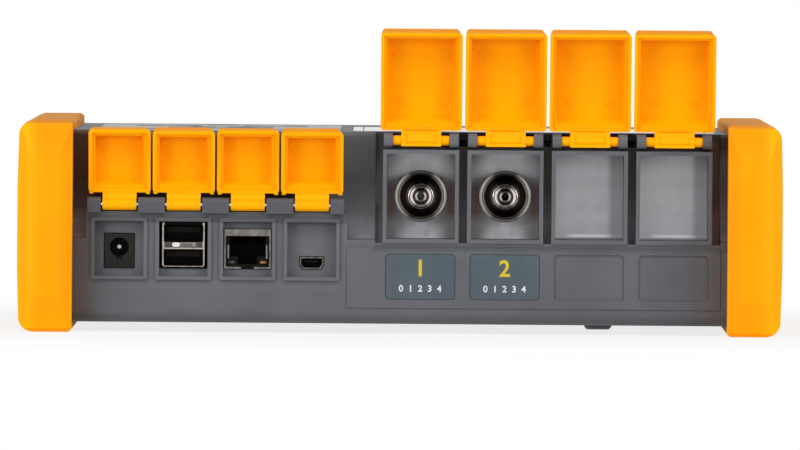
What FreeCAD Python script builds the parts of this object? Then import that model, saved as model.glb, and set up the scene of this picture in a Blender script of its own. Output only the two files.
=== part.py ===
"""Handheld optical time domain reflectometer: a landscape instrument lying on its back, sockets to the front.

Frame: +Z up through the screen, -Y out of the connector end, X along the long side, millimetres.
The origin is the middle of the ground plane under the two side bumpers.
Every piece is one solid, or one group of identical solids, in its own STEP file.
"""
import FreeCAD, Part
import math
import os

V = FreeCAD.Vector
AXIS_X, AXIS_Y, AXIS_Z = V(1, 0, 0), V(0, 1, 0), V(0, 0, 1)

# ---------------------------------------------------------------- driving dimensions
# End guards
overall_depth = 168.0
bumper_width = 18.1          # seen from the connector end
bumper_height = 70.0
bumper_round = 5.0           # outer long edges
bumper_lip_round = 1.5       # inner long edges
bumper_end_slope = 11.5      # height of the sloping facets on each end
bumper_end_rake = 2.6        # how far those facets lean back
bumper_cheek = 4.0           # width of the facets on the sides of each end
bumper_crease_round = 3.0    # softness of the creases between the facets
bumper_bow = 0.6             # the outer side bulges this much at mid height

# Housing
left_margin = 4.5            # left guard to the socket panel
group_gap = 9.3              # socket panel to the optical panel
right_margin = 2.3           # optical panel to the right guard
body_bottom = 3.2
body_top = 66.6
parting_height = 31.3
body_side_lap = 3.6          # how far the housing runs under each guard
near_reach = 9.5             # the guards stand this far past the connector end
far_reach = 4.0              # and this far past the other end
wall = 2.5
keel_round = 4.0             # bottom edges across the housing
scoop_depth = 12.5           # set-back of the hollowed end wall above the sockets
scoop_lip = 2.1              # where the hollow meets the parting line
scoop_rise = 18.4
brow_overhang = 3.6          # how far the edge above the hollow stands out over it
brow_round = 1.2             # edge between end wall and front face
plinth_proud = 0.4           # raised field under the optical bays
plinth_h = 20.0
label_w, label_h, label_round = 23.2, 15.2, 1.5
label_rise = 8.2             # lower edge of the label recesses above the housing's bottom
label_sink = 0.55

# Electrical sockets
socket_pitch = 21.24
socket_count = 4
socket_end_left = 11.0       # first socket's centre to the panel's left edge
socket_end_right = 11.68
socket_frame_w = 18.5
socket_frame_h = 20.5
socket_frame_drop = 3.8      # frames reach this far below the board's top face
socket_rim = 1.15
socket_rim_proud = 1.0
socket_pocket_depth = 3.5
panel_wall = 2.5
panel_skirt = 2.9            # panel below the frames
panel_head = 2.1             # panel above the frames
pocket_floor = 1.5
cutout_gap = 0.25
board_gap = 0.1

# Optical sockets
bay_pitch = 27.94
bay_count = 4
bay_end_left = 15.02
bay_end_right = 15.46
bay_w = 25.2
bay_h = 30.9
bay_lift = 1.2               # lower edge of the bays below the parting line
bay_rim = 1.35
bay_rim_proud = 0.5
bay_floor_thickness = 2.5
optical_shelf = 1.5          # rim of the optical panel below the bays
slot_w = 2.4
notch_depth = 4.0            # cut into the front face between and behind the arms
adapter_bays = (0, 1)        # bays that carry a fibre adapter
blank_bays = (2, 3)          # bays closed by a plate
blank_t = 1.2
blank_gap = 0.1

# Socket caps on steel pins
small_cap_w = 20.6
small_cap_h = 21.3
small_cap_depth = 7.0
small_cap_wall = 2.1
small_cap_lap = 0.6          # cap above the frame it covers
small_seat_gap = 0.3
small_hinge_back = 0.3       # pin behind the connector end's face
small_hinge_rise = 2.2       # pin above the panel
small_tab_w = 11.2
small_cap_toe_w, small_cap_toe_h = 1.3, 0.5
small_knuckle_r = 1.9
small_ear_w = 8.9
small_ear_rise = 4.6
pin_side_gap = 0.7
hinge_pin_r = 0.6
pin_running_gap = 0.05
small_cap_open = (168.0, 164.0, 168.0, 163.0)   # opening angle each cap rests at

# Optical caps on moulded trunnions
large_cap_w = 27.0
large_cap_h = 33.5
large_cap_depth = 8.5
large_cap_wall = 2.0
large_cap_lap = 0.2
large_seat_gap = 0.3
large_hinge_back = 0.9
large_hinge_rise = 3.1       # trunnion above the bays
large_tab_w = 13.2
large_tab_proud = 0.35       # frame on the tab's outer side
large_tab_frame_h = 3.8
large_tab_recess_w = 10.2
large_knuckle_w = 18.4
large_knuckle_r = 1.6
trunnion_r = 1.4
trunnion_gap = 0.06
trunnion_end_gap = 0.2
trunnion_skin = 0.8          # plastic left outside each blind hole
large_arm_inner = 9.4        # half distance between the two arms of a bay
large_arm_w = 3.0
large_arm_drop = 2.2         # arm below and above its trunnion
large_cap_open = 165.0
cap_draft = 0.75             # cap walls draw in towards the closed end
cap_draft_skew = 0.4         # and more on the right than on the left
cap_corner = 1.2
cap_step = 0.9               # ledge inside each cap's rim
cap_step_depth = 1.0
cap_edge = 0.45
ejector_r, ejector_h = 1.9, 0.15

# Fibre adapters
adapter_rise = 15.5          # axis above the lower edge of its bay
adapter_flange_r = 8.55
adapter_lip_r = 7.9
adapter_flange_t = 4.4
adapter_dish_r = 7.2
adapter_collar_r = 4.7
adapter_barrel_r = 4.0
adapter_barrel_l = 8.6
adapter_shank_r = 5.0
adapter_shank_l = 9.0
adapter_nut_flats = 14.2
adapter_nut_rise = 6.0
adapter_nut_t = 1.6
sleeve_r = 2.1
ferrule_r = 1.25
sleeve_l = 12.0

# Board and what stands on it
board_top = 21.2
board_t = 1.6
board_side_gap = 8.9         # board to the guards
board_far_gap = 14.0
post_inset = 5.5
post_r = 3.0
post_screw_r = 1.25
connector_set_back = 2.0     # connector faces behind the connector end's face
jack_w, jack_h, jack_l = 9.7, 11.3, 14.0
jack_bore_r, jack_bore_l, jack_bore_rise = 3.15, 9.5, 6.9
jack_pin_r = 1.05
usb_w, usb_h, usb_l = 14.0, 15.0, 17.0
usb_mouth_w, usb_mouth_h, usb_mouth_l = 13.1, 5.6, 11.0
usb_mouth_rises = (0.7, 8.7)
usb_tongue_w, usb_tongue_t, usb_tongue_l = 11.1, 1.9, 8.8
net_w, net_h, net_l = 15.4, 13.0, 16.0
net_skin = 0.5
net_lintel = 2.2
net_mouth_w, net_mouth_h, net_mouth_l = 11.8, 6.8, 12.0
net_latch_w, net_latch_h = 6.4, 2.6
net_wire_pitch, net_wire_w = 1.02, 0.44
mini_top_w, mini_bottom_w, mini_h, mini_l = 7.8, 6.0, 4.0, 9.0
mini_skin = 0.45

# Screen and keypad
glass_w, glass_h, glass_t = 121.0, 94.0, 1.5
glass_margin = 3.4           # glass to the right guard
glass_near = 33.5            # glass behind the connector end's face
screen_border = 3.6
screen_panel_t = 5.5
gasket_t = 1.0
overlay_margin = 7.4         # film to the left guard
overlay_gap = 4.0            # film to the glass
overlay_near = 22.5
overlay_far = 12.0
overlay_t = 0.8
overlay_round = 4.0
film_gap = 0.12
key_proud = 0.15
key_gap = 0.35
key_flange = 0.7
key_flange_t = 1.2
key_seat_gap = 0.3
key_travel = 0.5
key_rest_gap = 0.3
key_edge = 0.1
ring_inner_r, ring_outer_r = 9.6, 17.6
ring_span = 74.0
enter_r = 7.4
bar_key_w, bar_key_h = 22.0, 9.0
bar_key_dx, bar_key_dy = 18.0, 32.0
power_key_r = 5.5
power_key_dy = 52.0
mat_t = 1.5
keypad_board_t = 1.6
lamp_r = 1.3
lamp_gap = 0.1
lamp_inset = 8.0
lamp_dx = 11.5

# Inside
module_w, module_d, module_h = 80.0, 80.0, 18.0
module_near = 43.0           # behind the connector end's face
module_side = 1.2            # right of the first bay's axis
gland_r, gland_l, gland_rise = 2.0, 4.0, 15.5
fibre_r = 0.9
fibre_lead = 2.0
laser_r, laser_l, laser_tail_r, laser_tail_l = 4.6, 26.0, 3.0, 5.0
buzzer_r, buzzer_h = 6.0, 7.0

# Stand, battery, fasteners
stand_side = 60.1            # stand's middle to the instrument's right end
stand_near = 44.5
stand_hinge_z = 5.2
stand_boss_r = 4.6
stand_boss_w = 9.1
stand_leg_w = 36.0
stand_leg_l = 84.0
stand_leg_t = 3.0
stand_gap = 0.5
stand_pin_r = 1.25
stand_lug_w = 4.5
battery_w, battery_d, battery_t = 80.0, 92.0, 13.0
battery_side = 34.5          # battery to the instrument's left end
battery_near = 38.5
cage_gap = 0.4
rib = 1.6
rib_h = 9.0
cover_t = 2.0
cover_lap = 4.0
cover_gap = 0.15
cover_screw_in = 2.0
case_screw_side = 4.4        # screw axis to the guards
case_screw_near = 26.5
case_screw_far = 16.0
screw_floor = 12.0           # seat of the screw heads
boss_r = 4.0
screw_r = 1.6
screw_head_r = 3.0
screw_head_h = 2.2

# Derived places
panel_w = socket_end_left + (socket_count - 1) * socket_pitch + socket_end_right
optical_w = bay_end_left + (bay_count - 1) * bay_pitch + bay_end_right
bumper_inner = (left_margin + panel_w + group_gap + optical_w + right_margin) / 2
half_width = bumper_inner + bumper_width
body_half = bumper_inner + body_side_lap
near_end = -overall_depth / 2
far_end = overall_depth / 2
body_near = near_end + near_reach
body_far = far_end - far_reach
scoop_y = body_near + scoop_depth
scoop_foot_y = body_near + scoop_lip
panel_left = left_margin - bumper_inner
panel_right = panel_left + panel_w
optical_left = panel_right + group_gap
optical_right = optical_left + optical_w
socket_xs = [panel_left + socket_end_left + i * socket_pitch for i in range(socket_count)]
bay_xs = [optical_left + bay_end_left + i * bay_pitch for i in range(bay_count)]
board_bottom = board_top - board_t
plate_under = body_top - wall
inner_floor = body_bottom + wall
socket_frame_bottom = board_top - socket_frame_drop
socket_frame_top = socket_frame_bottom + socket_frame_h
panel_bottom = socket_frame_bottom - panel_skirt
panel_top = socket_frame_top + panel_head
pocket_y = body_near - socket_rim_proud + socket_pocket_depth
small_cap_top = socket_frame_top + small_cap_lap
small_hinge_y = body_near + small_hinge_back
small_hinge_z = panel_top + small_hinge_rise
small_ear_top = panel_top + small_ear_rise
bay_bottom = parting_height - bay_lift
bay_top = bay_bottom + bay_h
bay_rim_y = body_near - bay_rim_proud
bay_floor_y = scoop_y
optical_shelf_bottom = bay_bottom - optical_shelf
large_cap_top = bay_top + large_cap_lap
large_hinge_y = body_near + large_hinge_back
large_hinge_z = bay_top + large_hinge_rise
adapter_z = bay_bottom + adapter_rise
board_half_x = bumper_inner - board_side_gap
board_near = pocket_y + pocket_floor + board_gap
board_far = body_far - board_far_gap
connector_face_y = body_near + connector_set_back
glass_x1 = bumper_inner - glass_margin
glass_y0 = body_near + glass_near
screen_glass = (glass_x1 - glass_w, glass_x1, glass_y0, glass_y0 + glass_h)
overlay_area = (overlay_margin - bumper_inner, screen_glass[0] - overlay_gap,
                body_near + overlay_near, body_far - overlay_far)
keypad_centre = ((overlay_area[0] + overlay_area[1]) / 2, (overlay_area[2] + overlay_area[3]) / 2 - 4.0)
lamp_y = overlay_area[2] + lamp_inset
module_x0 = bay_xs[0] + module_side
module_y0 = body_near + module_near
stand_x = half_width - stand_side
stand_hinge_y = body_near + stand_near
battery_x0 = battery_side - half_width
battery_y0 = body_near + battery_near
battery_area = (battery_x0, battery_x0 + battery_w, battery_y0, battery_y0 + battery_d)
case_screw_x = bumper_inner - case_screw_side
case_screw_ys = (body_near + case_screw_near, body_far - case_screw_far)
REACH = 400.0                # longer than the instrument, for through cuts


# ---------------------------------------------------------------- shape helpers
def box(x0, x1, y0, y1, z0, z1):
    return Part.makeBox(x1 - x0, y1 - y0, z1 - z0, V(x0, y0, z0))


def rod(start, axis, radius, length):
    return Part.makeCylinder(radius, length, start, axis)


def fuse(shapes):
    return shapes[0].multiFuse(shapes[1:]).removeSplitter() if len(shapes) > 1 else shapes[0]


def cut(shape, *tools):
    return shape.cut(Part.makeCompound(list(tools))).removeSplitter()


def rounded_rect(width, height, radius):
    """Closed wire in the XY plane, centred on the origin."""
    w, h, r = width / 2, height / 2, radius
    s = r * math.sqrt(0.5)
    corners = [(w, h, 1, 1), (-w, h, -1, 1), (-w, -h, -1, -1), (w, -h, 1, -1)]
    starts = [V(w, h - r, 0), V(-w + r, h, 0), V(-w, -h + r, 0), V(w - r, -h, 0)]
    ends = [V(w - r, h, 0), V(-w, h - r, 0), V(-w + r, -h, 0), V(w, -h + r, 0)]
    edges = []
    for i, (cx, cy, sx, sy) in enumerate(corners):
        middle = V(cx - sx * (r - s), cy - sy * (r - s), 0)
        edges.append(Part.Arc(starts[i], middle, ends[i]).toShape())
        edges.append(Part.LineSegment(ends[i], starts[(i + 1) % 4]).toShape())
    return Part.Wire(Part.__sortEdges__(edges))


def rounded_outline(corners):
    """Closed wire in the XY plane through (x, y, radius) corners, each corner eased by its radius."""
    points = [V(x, y, 0) for x, y, _ in corners]
    edges = []
    leave = None
    first = None
    for i, (_, _, radius) in enumerate(corners):
        here, before, after = points[i], points[i - 1], points[(i + 1) % len(points)]
        back = (before - here).normalize()
        ahead = (after - here).normalize()
        half = back.getAngle(ahead) / 2
        arrive = here + back * (radius / math.tan(half))
        depart = here + ahead * (radius / math.tan(half))
        if leave is not None and not leave.isEqual(arrive, 1e-6):
            edges.append(Part.LineSegment(leave, arrive).toShape())
        if radius:
            centre = here + (back + ahead).normalize() * (radius / math.sin(half))
            middle = centre + (here - centre).normalize() * radius
            edges.append(Part.Arc(arrive, middle, depart).toShape())
        first = first or arrive
        leave = depart
    edges.append(Part.LineSegment(leave, first).toShape())
    return Part.Wire(edges)


def slab(x0, x1, y0, y1, z0, z1, radius):
    """Upright prism with four rounded corners."""
    wire = rounded_rect(x1 - x0, y1 - y0, radius)
    wire.translate(V((x0 + x1) / 2, (y0 + y1) / 2, z0))
    return Part.Face(wire).extrude(V(0, 0, z1 - z0))


def plaque(x0, x1, z0, z1, y0, y1, radius):
    """The same prism lying along Y, its outline seen from the connector end."""
    wire = rounded_rect(x1 - x0, z1 - z0, radius)
    wire.rotate(V(0, 0, 0), AXIS_X, 90)
    wire.translate(V((x0 + x1) / 2, y0, (z0 + z1) / 2))
    return Part.Face(wire).extrude(V(0, y1 - y0, 0))


def profile_yz(points, x0, x1):
    """Prism along X from an outline of (y, z) points."""
    wire = Part.makePolygon([V(x0, y, z) for y, z in points + points[:1]])
    return Part.Face(wire).extrude(V(x1 - x0, 0, 0))


def edges_where(shape, test):
    return [e for e in shape.Edges if test(e)]


def along(edge, axis):
    """True for a straight edge that runs along the axis."""
    if not isinstance(edge.Curve, Part.Line):
        return False
    return abs(abs(edge.tangentAt(edge.FirstParameter).dot(axis)) - 1) < 1e-6


def at(value, target):
    return abs(value - target) < 1e-4


# ---------------------------------------------------------------- housing
def scoop_outline(inset):
    """Side outline of the front shell, drawn in by inset, as a closed wire on the YZ plane.

    The end wall is hollowed: it leans in under the brow and sweeps out again to the parting line.
    """
    brow = V(0, scoop_y - brow_overhang + inset, body_top - inset)
    knee = V(0, scoop_y + inset, parting_height + scoop_rise)
    foot = V(0, scoop_foot_y + inset, parting_height)
    lean = (knee - brow).normalize()
    bow = (foot - knee) * 0.5
    normal = V(0, lean.z, -lean.y)
    swell = bow.dot(lean) / bow.Length
    middle = knee + bow - normal * (bow.Length * math.tan(math.acos(swell) / 2))
    tail = V(0, body_far - inset, body_top - inset)
    heel = V(0, body_far - inset, parting_height)
    edges = [Part.Arc(foot, middle, knee).toShape()]
    corners = [knee, brow, tail, heel, foot]
    edges += [Part.LineSegment(a, b).toShape() for a, b in zip(corners, corners[1:])]
    return Part.Wire(edges)


def across(wire, x0, x1):
    face = Part.Face(wire)
    face.translate(V(x0, 0, 0))
    return face.extrude(V(x1 - x0, 0, 0))


def key_layout():
    """Outline of every key as (name, prism maker), the maker taking growth, z0 and z1."""
    cx, cy = keypad_centre
    bar_w, bar_h = bar_key_w, bar_key_h

    def round_key(x, y, radius):
        return lambda grow, z0, z1: rod(V(x, y, z0), AXIS_Z, radius + grow, z1 - z0)

    def bar(x, y):
        return lambda grow, z0, z1: slab(x - bar_w / 2 - grow, x + bar_w / 2 + grow,
                                         y - bar_h / 2 - grow, y + bar_h / 2 + grow, z0, z1, 3.0 + grow)

    def sector(angle):
        def prism(grow, z0, z1):
            ring = rod(V(cx, cy, z0), AXIS_Z, ring_outer_r + grow, z1 - z0)
            ring = ring.cut(rod(V(cx, cy, z0), AXIS_Z, ring_inner_r - grow, z1 - z0))
            shapes = []
            for side in (-1, 1):
                turn = angle + side * ring_span / 2
                keep = box(0, 60, 0, 60, z0, z1) if side < 0 else box(0, 60, -60, 0, z0, z1)
                keep.translate(V(0, side * grow, 0))
                keep.rotate(V(0, 0, 0), AXIS_Z, turn)
                keep.translate(V(cx, cy, 0))
                shapes.append(keep)
            return ring.common(shapes[0]).common(shapes[1])
        return prism

    return [
        ("up_key", sector(-90)),
        ("down_key", sector(90)),
        ("left_key", sector(0)),
        ("right_key", sector(180)),
        ("enter_key", round_key(cx, cy, enter_r)),
        ("start_key", bar(cx + bar_key_dx, cy - bar_key_dy)),
        ("menu_key", bar(cx - bar_key_dx, cy - bar_key_dy)),
        ("file_key", bar(cx + bar_key_dx, cy + bar_key_dy)),
        ("escape_key", bar(cx - bar_key_dx, cy + bar_key_dy)),
        ("power_key", round_key(cx, cy + power_key_dy, power_key_r)),
    ]


def keypad_screw_spots():
    x0, x1, y0, y1 = overlay_area
    return [(x, y) for x in (x0 + 5, x1 - 5) for y in (y0 + 14, y1 - 6)]


def front_shell():
    shell = across(scoop_outline(0), -body_half, body_half)
    brow = edges_where(shell, lambda e: along(e, AXIS_X) and at(e.CenterOfMass.y, scoop_y - brow_overhang)
                       and at(e.CenterOfMass.z, body_top))
    tail = edges_where(shell, lambda e: along(e, AXIS_X) and at(e.CenterOfMass.y, body_far)
                       and at(e.CenterOfMass.z, body_top))
    shell = shell.makeFillet(brow_round, brow + tail)
    shell = shell.cut(across(scoop_outline(wall), -body_half + wall, body_half - wall))
    bosses = [rod(V(side * case_screw_x, y, parting_height), AXIS_Z, boss_r, plate_under - parting_height)
              for side in (-1, 1) for y in case_screw_ys]
    posts = [rod(V(x, y, plate_under - key_space()), AXIS_Z, 2.6, key_space())
             for x, y in keypad_screw_spots()]
    shell = fuse([shell] + bosses + posts)

    x0, x1, y0, y1 = screen_glass
    rim = screen_border
    tools = [
        slab(x0, x1, y0, y1, body_top - glass_t, body_top + 1, 2.0),
        slab(x0 + rim, x1 - rim, y0 + rim, y1 - rim, plate_under - 1, body_top, 1.0),
        slab(*overlay_area, body_top - overlay_t, body_top + 1, overlay_round),
        box(optical_left, optical_right, scoop_foot_y - 1, scoop_y + wall + 0.1,
            parting_height - 1, plate_under),
        box(optical_left, optical_right, scoop_foot_y - 1, scoop_y, parting_height - 1, REACH),
        box(panel_left, panel_right, scoop_foot_y - 1, pocket_y + 10, parting_height - 1, panel_top),
    ]
    tools += [box(x - slot_w / 2, x + slot_w / 2, scoop_y - 5, scoop_y + notch_depth, plate_under - 1, body_top + 1)
              for x in [(a + b) / 2 for a, b in zip(bay_xs, bay_xs[1:])]]
    tools += [box(x - large_arm_inner, x + large_arm_inner, scoop_y - 5, scoop_y + notch_depth / 2,
                  large_hinge_z - large_arm_drop + 2, body_top + 1) for x in bay_xs]
    tools += [prism(key_gap, plate_under - 1, body_top + 1) for _, prism in key_layout()]
    tools += [rod(V(x, lamp_y, plate_under - 1), AXIS_Z, lamp_r + lamp_gap, wall + 2) for x in lamp_xs()]
    tools += [rod(V(side * case_screw_x, y, parting_height - 1), AXIS_Z, screw_r, 13)
              for side in (-1, 1) for y in case_screw_ys]
    return cut(shell, *tools)


def key_space():
    """Depth under the front plate that the keys, their mat and their travel take."""
    return key_seat_gap + key_flange_t + key_travel + key_rest_gap + mat_t


def lamp_xs():
    return [keypad_centre[0] + i * lamp_dx for i in (-1, 0, 1)]


def board_posts():
    edge = board_half_x - post_inset
    rows = (board_near + 3.3 * post_inset, board_far - post_inset)
    return [(x, y) for y in rows for x in (-edge, optical_left, edge)]


def stand_well(grow):
    """Space that the folded stand lies in, grown all round."""
    half = stand_leg_w / 2 + grow
    leg = slab(stand_x - half, stand_x + half, stand_hinge_y - 5.6 - grow, stand_hinge_y + stand_leg_l + grow,
               body_bottom - 1, body_bottom + stand_leg_t + grow, 6.0)
    boss = box(stand_x - stand_boss_w / 2 - stand_lug_w - grow, stand_x + stand_boss_w / 2 + stand_lug_w + grow,
               stand_hinge_y - stand_boss_r - grow, stand_hinge_y + stand_boss_r + grow,
               body_bottom - 1, stand_hinge_z + stand_boss_r + grow)
    return leg.fuse(boss)


def rear_shell():
    shell = box(-body_half, body_half, body_near, body_far, body_bottom, parting_height)
    keel = edges_where(shell, lambda e: along(e, AXIS_X) and at(e.CenterOfMass.z, body_bottom))
    shell = shell.makeFillet(keel_round, keel)
    room = box(-body_half + wall, body_half - wall, body_near + wall, body_far - wall, inner_floor, REACH)
    floor = edges_where(room, lambda e: along(e, AXIS_X) and at(e.CenterOfMass.z, inner_floor))
    shell = shell.cut(room.makeFillet(keel_round - wall, floor))

    bx0, bx1, by0, by1 = battery_area
    g, t = cage_gap, cage_gap + rib
    cage = box(bx0 - t, bx1 + t, by0 - t, by1 + t, inner_floor - 1, inner_floor + rib_h)
    cage = cage.cut(box(bx0 - g, bx1 + g, by0 - g, by1 + g, 0, REACH))
    bosses = [rod(V(side * case_screw_x, y, inner_floor - 1), AXIS_Z, boss_r, parting_height - inner_floor + 1)
              for side in (-1, 1) for y in case_screw_ys]
    posts = [rod(V(x, y, inner_floor - 1), AXIS_Z, post_r, board_bottom - inner_floor + 1) for x, y in board_posts()]
    well = stand_well(stand_gap + 2.0).common(box(-REACH, REACH, -REACH, REACH, inner_floor - 1, REACH))
    plinth = box(panel_right, optical_right, body_near - plinth_proud, body_near + 1,
                 optical_shelf_bottom - plinth_h, optical_shelf_bottom)
    shell = fuse([shell, cage, well, plinth] + bosses + posts)

    lap = cover_lap
    tools = [
        box(panel_left, panel_right, body_near - 5, body_near + wall + 0.1, panel_bottom, REACH),
        box(optical_left, optical_right, body_near - 5, body_near + wall + 0.1, optical_shelf_bottom, REACH),
        stand_well(stand_gap),
        box(bx0, bx1, by0, by1, body_bottom - 1, inner_floor + 1),
        slab(bx0 - lap, bx1 + lap, by0 - lap, by1 + lap, body_bottom - 1, body_bottom + cover_t, 3.0),
    ]
    label_z = body_bottom + label_rise
    tools += [plaque(x - label_w / 2, x + label_w / 2, label_z, label_z + label_h, body_near - 1,
                     body_near - plinth_proud + label_sink, label_round) for x in bay_xs]
    for side in (-1, 1):
        for y in case_screw_ys:
            tools.append(rod(V(side * case_screw_x, y, 0), AXIS_Z, screw_r + 0.2, REACH))
            tools.append(rod(V(side * case_screw_x, y, 0), AXIS_Z, screw_head_r + 0.3, screw_floor))
    tools += [rod(V(x, y, board_bottom - 8), AXIS_Z, post_screw_r, 9) for x, y in board_posts()]
    tools += [rod(V(x, y, body_bottom - 1), AXIS_Z, 1.3, REACH) for x, y in cover_screw_spots()]
    shell = cut(shell, *tools)
    lugs = []
    for side in (-1, 1):
        inner = stand_x + side * (stand_boss_w / 2 + 0.3)
        outer = stand_x + side * (stand_boss_w / 2 + stand_lug_w + stand_gap)
        lug = box(min(inner, outer), max(inner, outer), stand_hinge_y - 2.6, stand_hinge_y + 2.6,
                  body_bottom, stand_hinge_z + stand_boss_r + stand_gap)
        lugs.append(lug)
    shell = fuse([shell] + lugs)
    pin_length = stand_boss_w + 2 * stand_lug_w
    return cut(shell, rod(V(stand_x - pin_length / 2, stand_hinge_y, stand_hinge_z), AXIS_X,
                          stand_pin_r, pin_length))


def cover_screw_spots():
    x0, x1, y0, y1 = battery_area
    return [(x, (y0 + y1) / 2) for x in (x0 - cover_screw_in, x1 + cover_screw_in)]


def is_crease(edge):
    """The four edges round the flat middle of each end."""
    box_ = edge.BoundBox
    flat = at(box_.YMin, near_end) and at(box_.YMax, near_end) or at(box_.YMin, far_end) and at(box_.YMax, far_end)
    return flat and edge.Length > 1


def bumper(side):
    """Soft end guard; side is -1 on the left and 1 on the right."""
    rake, slope, cheek = bumper_end_rake, bumper_end_slope, bumper_cheek
    ends = []
    for end, turn in ((near_end, 1), (far_end, -1)):
        ends.append([(end + turn * (rake + 1.2), 0), (end + turn * rake, 1.2), (end, slope),
                     (end, bumper_height - slope), (end + turn * rake, bumper_height - 1.0),
                     (end + turn * (rake + 3.0), bumper_height)])
    outline = ends[0] + ends[1][::-1]
    side_view = profile_yz(outline, bumper_inner, half_width)
    plan = [(bumper_inner, near_end + rake), (bumper_inner + cheek, near_end), (half_width - cheek, near_end),
            (half_width, near_end + rake + 0.8), (half_width, far_end - rake - 0.8), (half_width - cheek, far_end),
            (bumper_inner + cheek, far_end), (bumper_inner, far_end - rake)]
    plan_wire = Part.makePolygon([V(x, y, 0) for x, y in plan + plan[:1]])
    guard = side_view.common(Part.Face(plan_wire).extrude(V(0, 0, bumper_height)))
    section = rounded_outline([
        (bumper_inner, 0, bumper_lip_round), (half_width - bumper_bow, 0, bumper_round),
        (half_width, bumper_height * 0.3, 0), (half_width, bumper_height * 0.7, 0),
        (half_width - bumper_bow, bumper_height, bumper_round), (bumper_inner, bumper_height, bumper_lip_round)])
    section.rotate(V(0, 0, 0), AXIS_X, 90)
    section.translate(V(0, near_end, 0))
    creases = edges_where(guard, lambda e: is_crease(e))
    guard = guard.makeFillet(bumper_crease_round, creases)
    guard = guard.common(Part.Face(section).extrude(V(0, overall_depth, 0)))
    housing = box(bumper_inner - 1, body_half, body_near, body_far, body_bottom, parting_height)
    housing = housing.fuse(box(bumper_inner - 1, body_half, scoop_foot_y, body_far, parting_height - 1, body_top))
    guard = cut(guard, housing)
    if side < 0:
        guard = guard.mirror(V(0, 0, 0), AXIS_X)
    return guard


# ---------------------------------------------------------------- socket panels
def socket_panel():
    plate = box(panel_left, panel_right, body_near, body_near + panel_wall, panel_bottom, panel_top)
    shelf = box(panel_left, panel_right, body_near, pocket_y + 8, panel_top - 1.5, panel_top)
    z0, z1 = socket_frame_bottom, socket_frame_top
    solids = [plate, shelf]
    for x in socket_xs:
        half = socket_frame_w / 2
        solids.append(box(x - half, x + half, body_near - socket_rim_proud, pocket_y + pocket_floor, z0, z1))
    solids += ears()
    panel = fuse(solids)
    lips = edges_where(panel, lambda e: along(e, AXIS_X) and at(e.CenterOfMass.z, small_ear_top))
    panel = panel.makeFillet(1.6, lips)
    tools = []
    for x in socket_xs:
        half = socket_frame_w / 2 - socket_rim
        tools.append(box(x - half, x + half, body_near - 5, pocket_y, z0 + socket_rim, z1 - socket_rim))
    tools += socket_cutouts()
    tools += [rod(V(x - pin_length() / 2 - 0.1, small_hinge_y, small_hinge_z), AXIS_X, hinge_pin_r + 0.02,
                  pin_length() + 0.2) for x in socket_xs]
    return cut(panel, *tools)


def pin_length():
    return small_tab_w + small_ear_w - 2 * pin_side_gap


def ears():
    """Lugs between the cap tabs, each shared by two neighbours except at the ends."""
    lugs = []
    half_tab = socket_pitch / 2 - small_ear_w / 2
    for x in socket_xs:
        for side in (-1, 1):
            reach = x + side * half_tab
            edge = x + side * socket_pitch / 2
            edge = min(max(edge, panel_left), panel_right)
            lugs.append(box(min(reach, edge), max(reach, edge), small_hinge_y - 2.2, small_hinge_y + 3.4,
                            panel_top - 0.5, small_ear_top))
    return lugs


def socket_cutouts():
    """Holes in the pocket floors, each a little larger than the connector that stands in it."""
    y0, y1 = pocket_y - 1, pocket_y + pocket_floor + 1
    jack, usb, net, mini = socket_xs
    gap = cutout_gap
    cuts = [
        box(jack - jack_w / 2 - gap, jack + jack_w / 2 + gap, y0, y1, board_top - gap, board_top + jack_h + gap),
        box(usb - usb_w / 2 - 4 * gap, usb + usb_w / 2 + 4 * gap, y0, y1, board_top - gap,
            board_top + usb_h + gap),
        box(net - net_w / 2 - gap, net + net_w / 2 + gap, y0, y1, board_top - gap, board_top + net_h + gap),
        mini_prism(mini, gap, y0, y1),
    ]
    under = box(panel_left, panel_right, pocket_y + pocket_floor, REACH, 0, board_top)
    return cuts + [under]


def mini_prism(x, grow, y0, y1):
    top, low = mini_top_w / 2 + grow, mini_bottom_w / 2 + grow
    z0, z1 = board_top - grow, board_top + mini_h + grow
    waist = board_top + 1.6
    outline = [(x - low, z0), (x + low, z0), (x + top, waist), (x + top, z1), (x - top, z1), (x - top, waist)]
    wire = Part.makePolygon([V(px, y0, pz) for px, pz in outline + outline[:1]])
    return Part.Face(wire).extrude(V(0, y1 - y0, 0))


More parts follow.
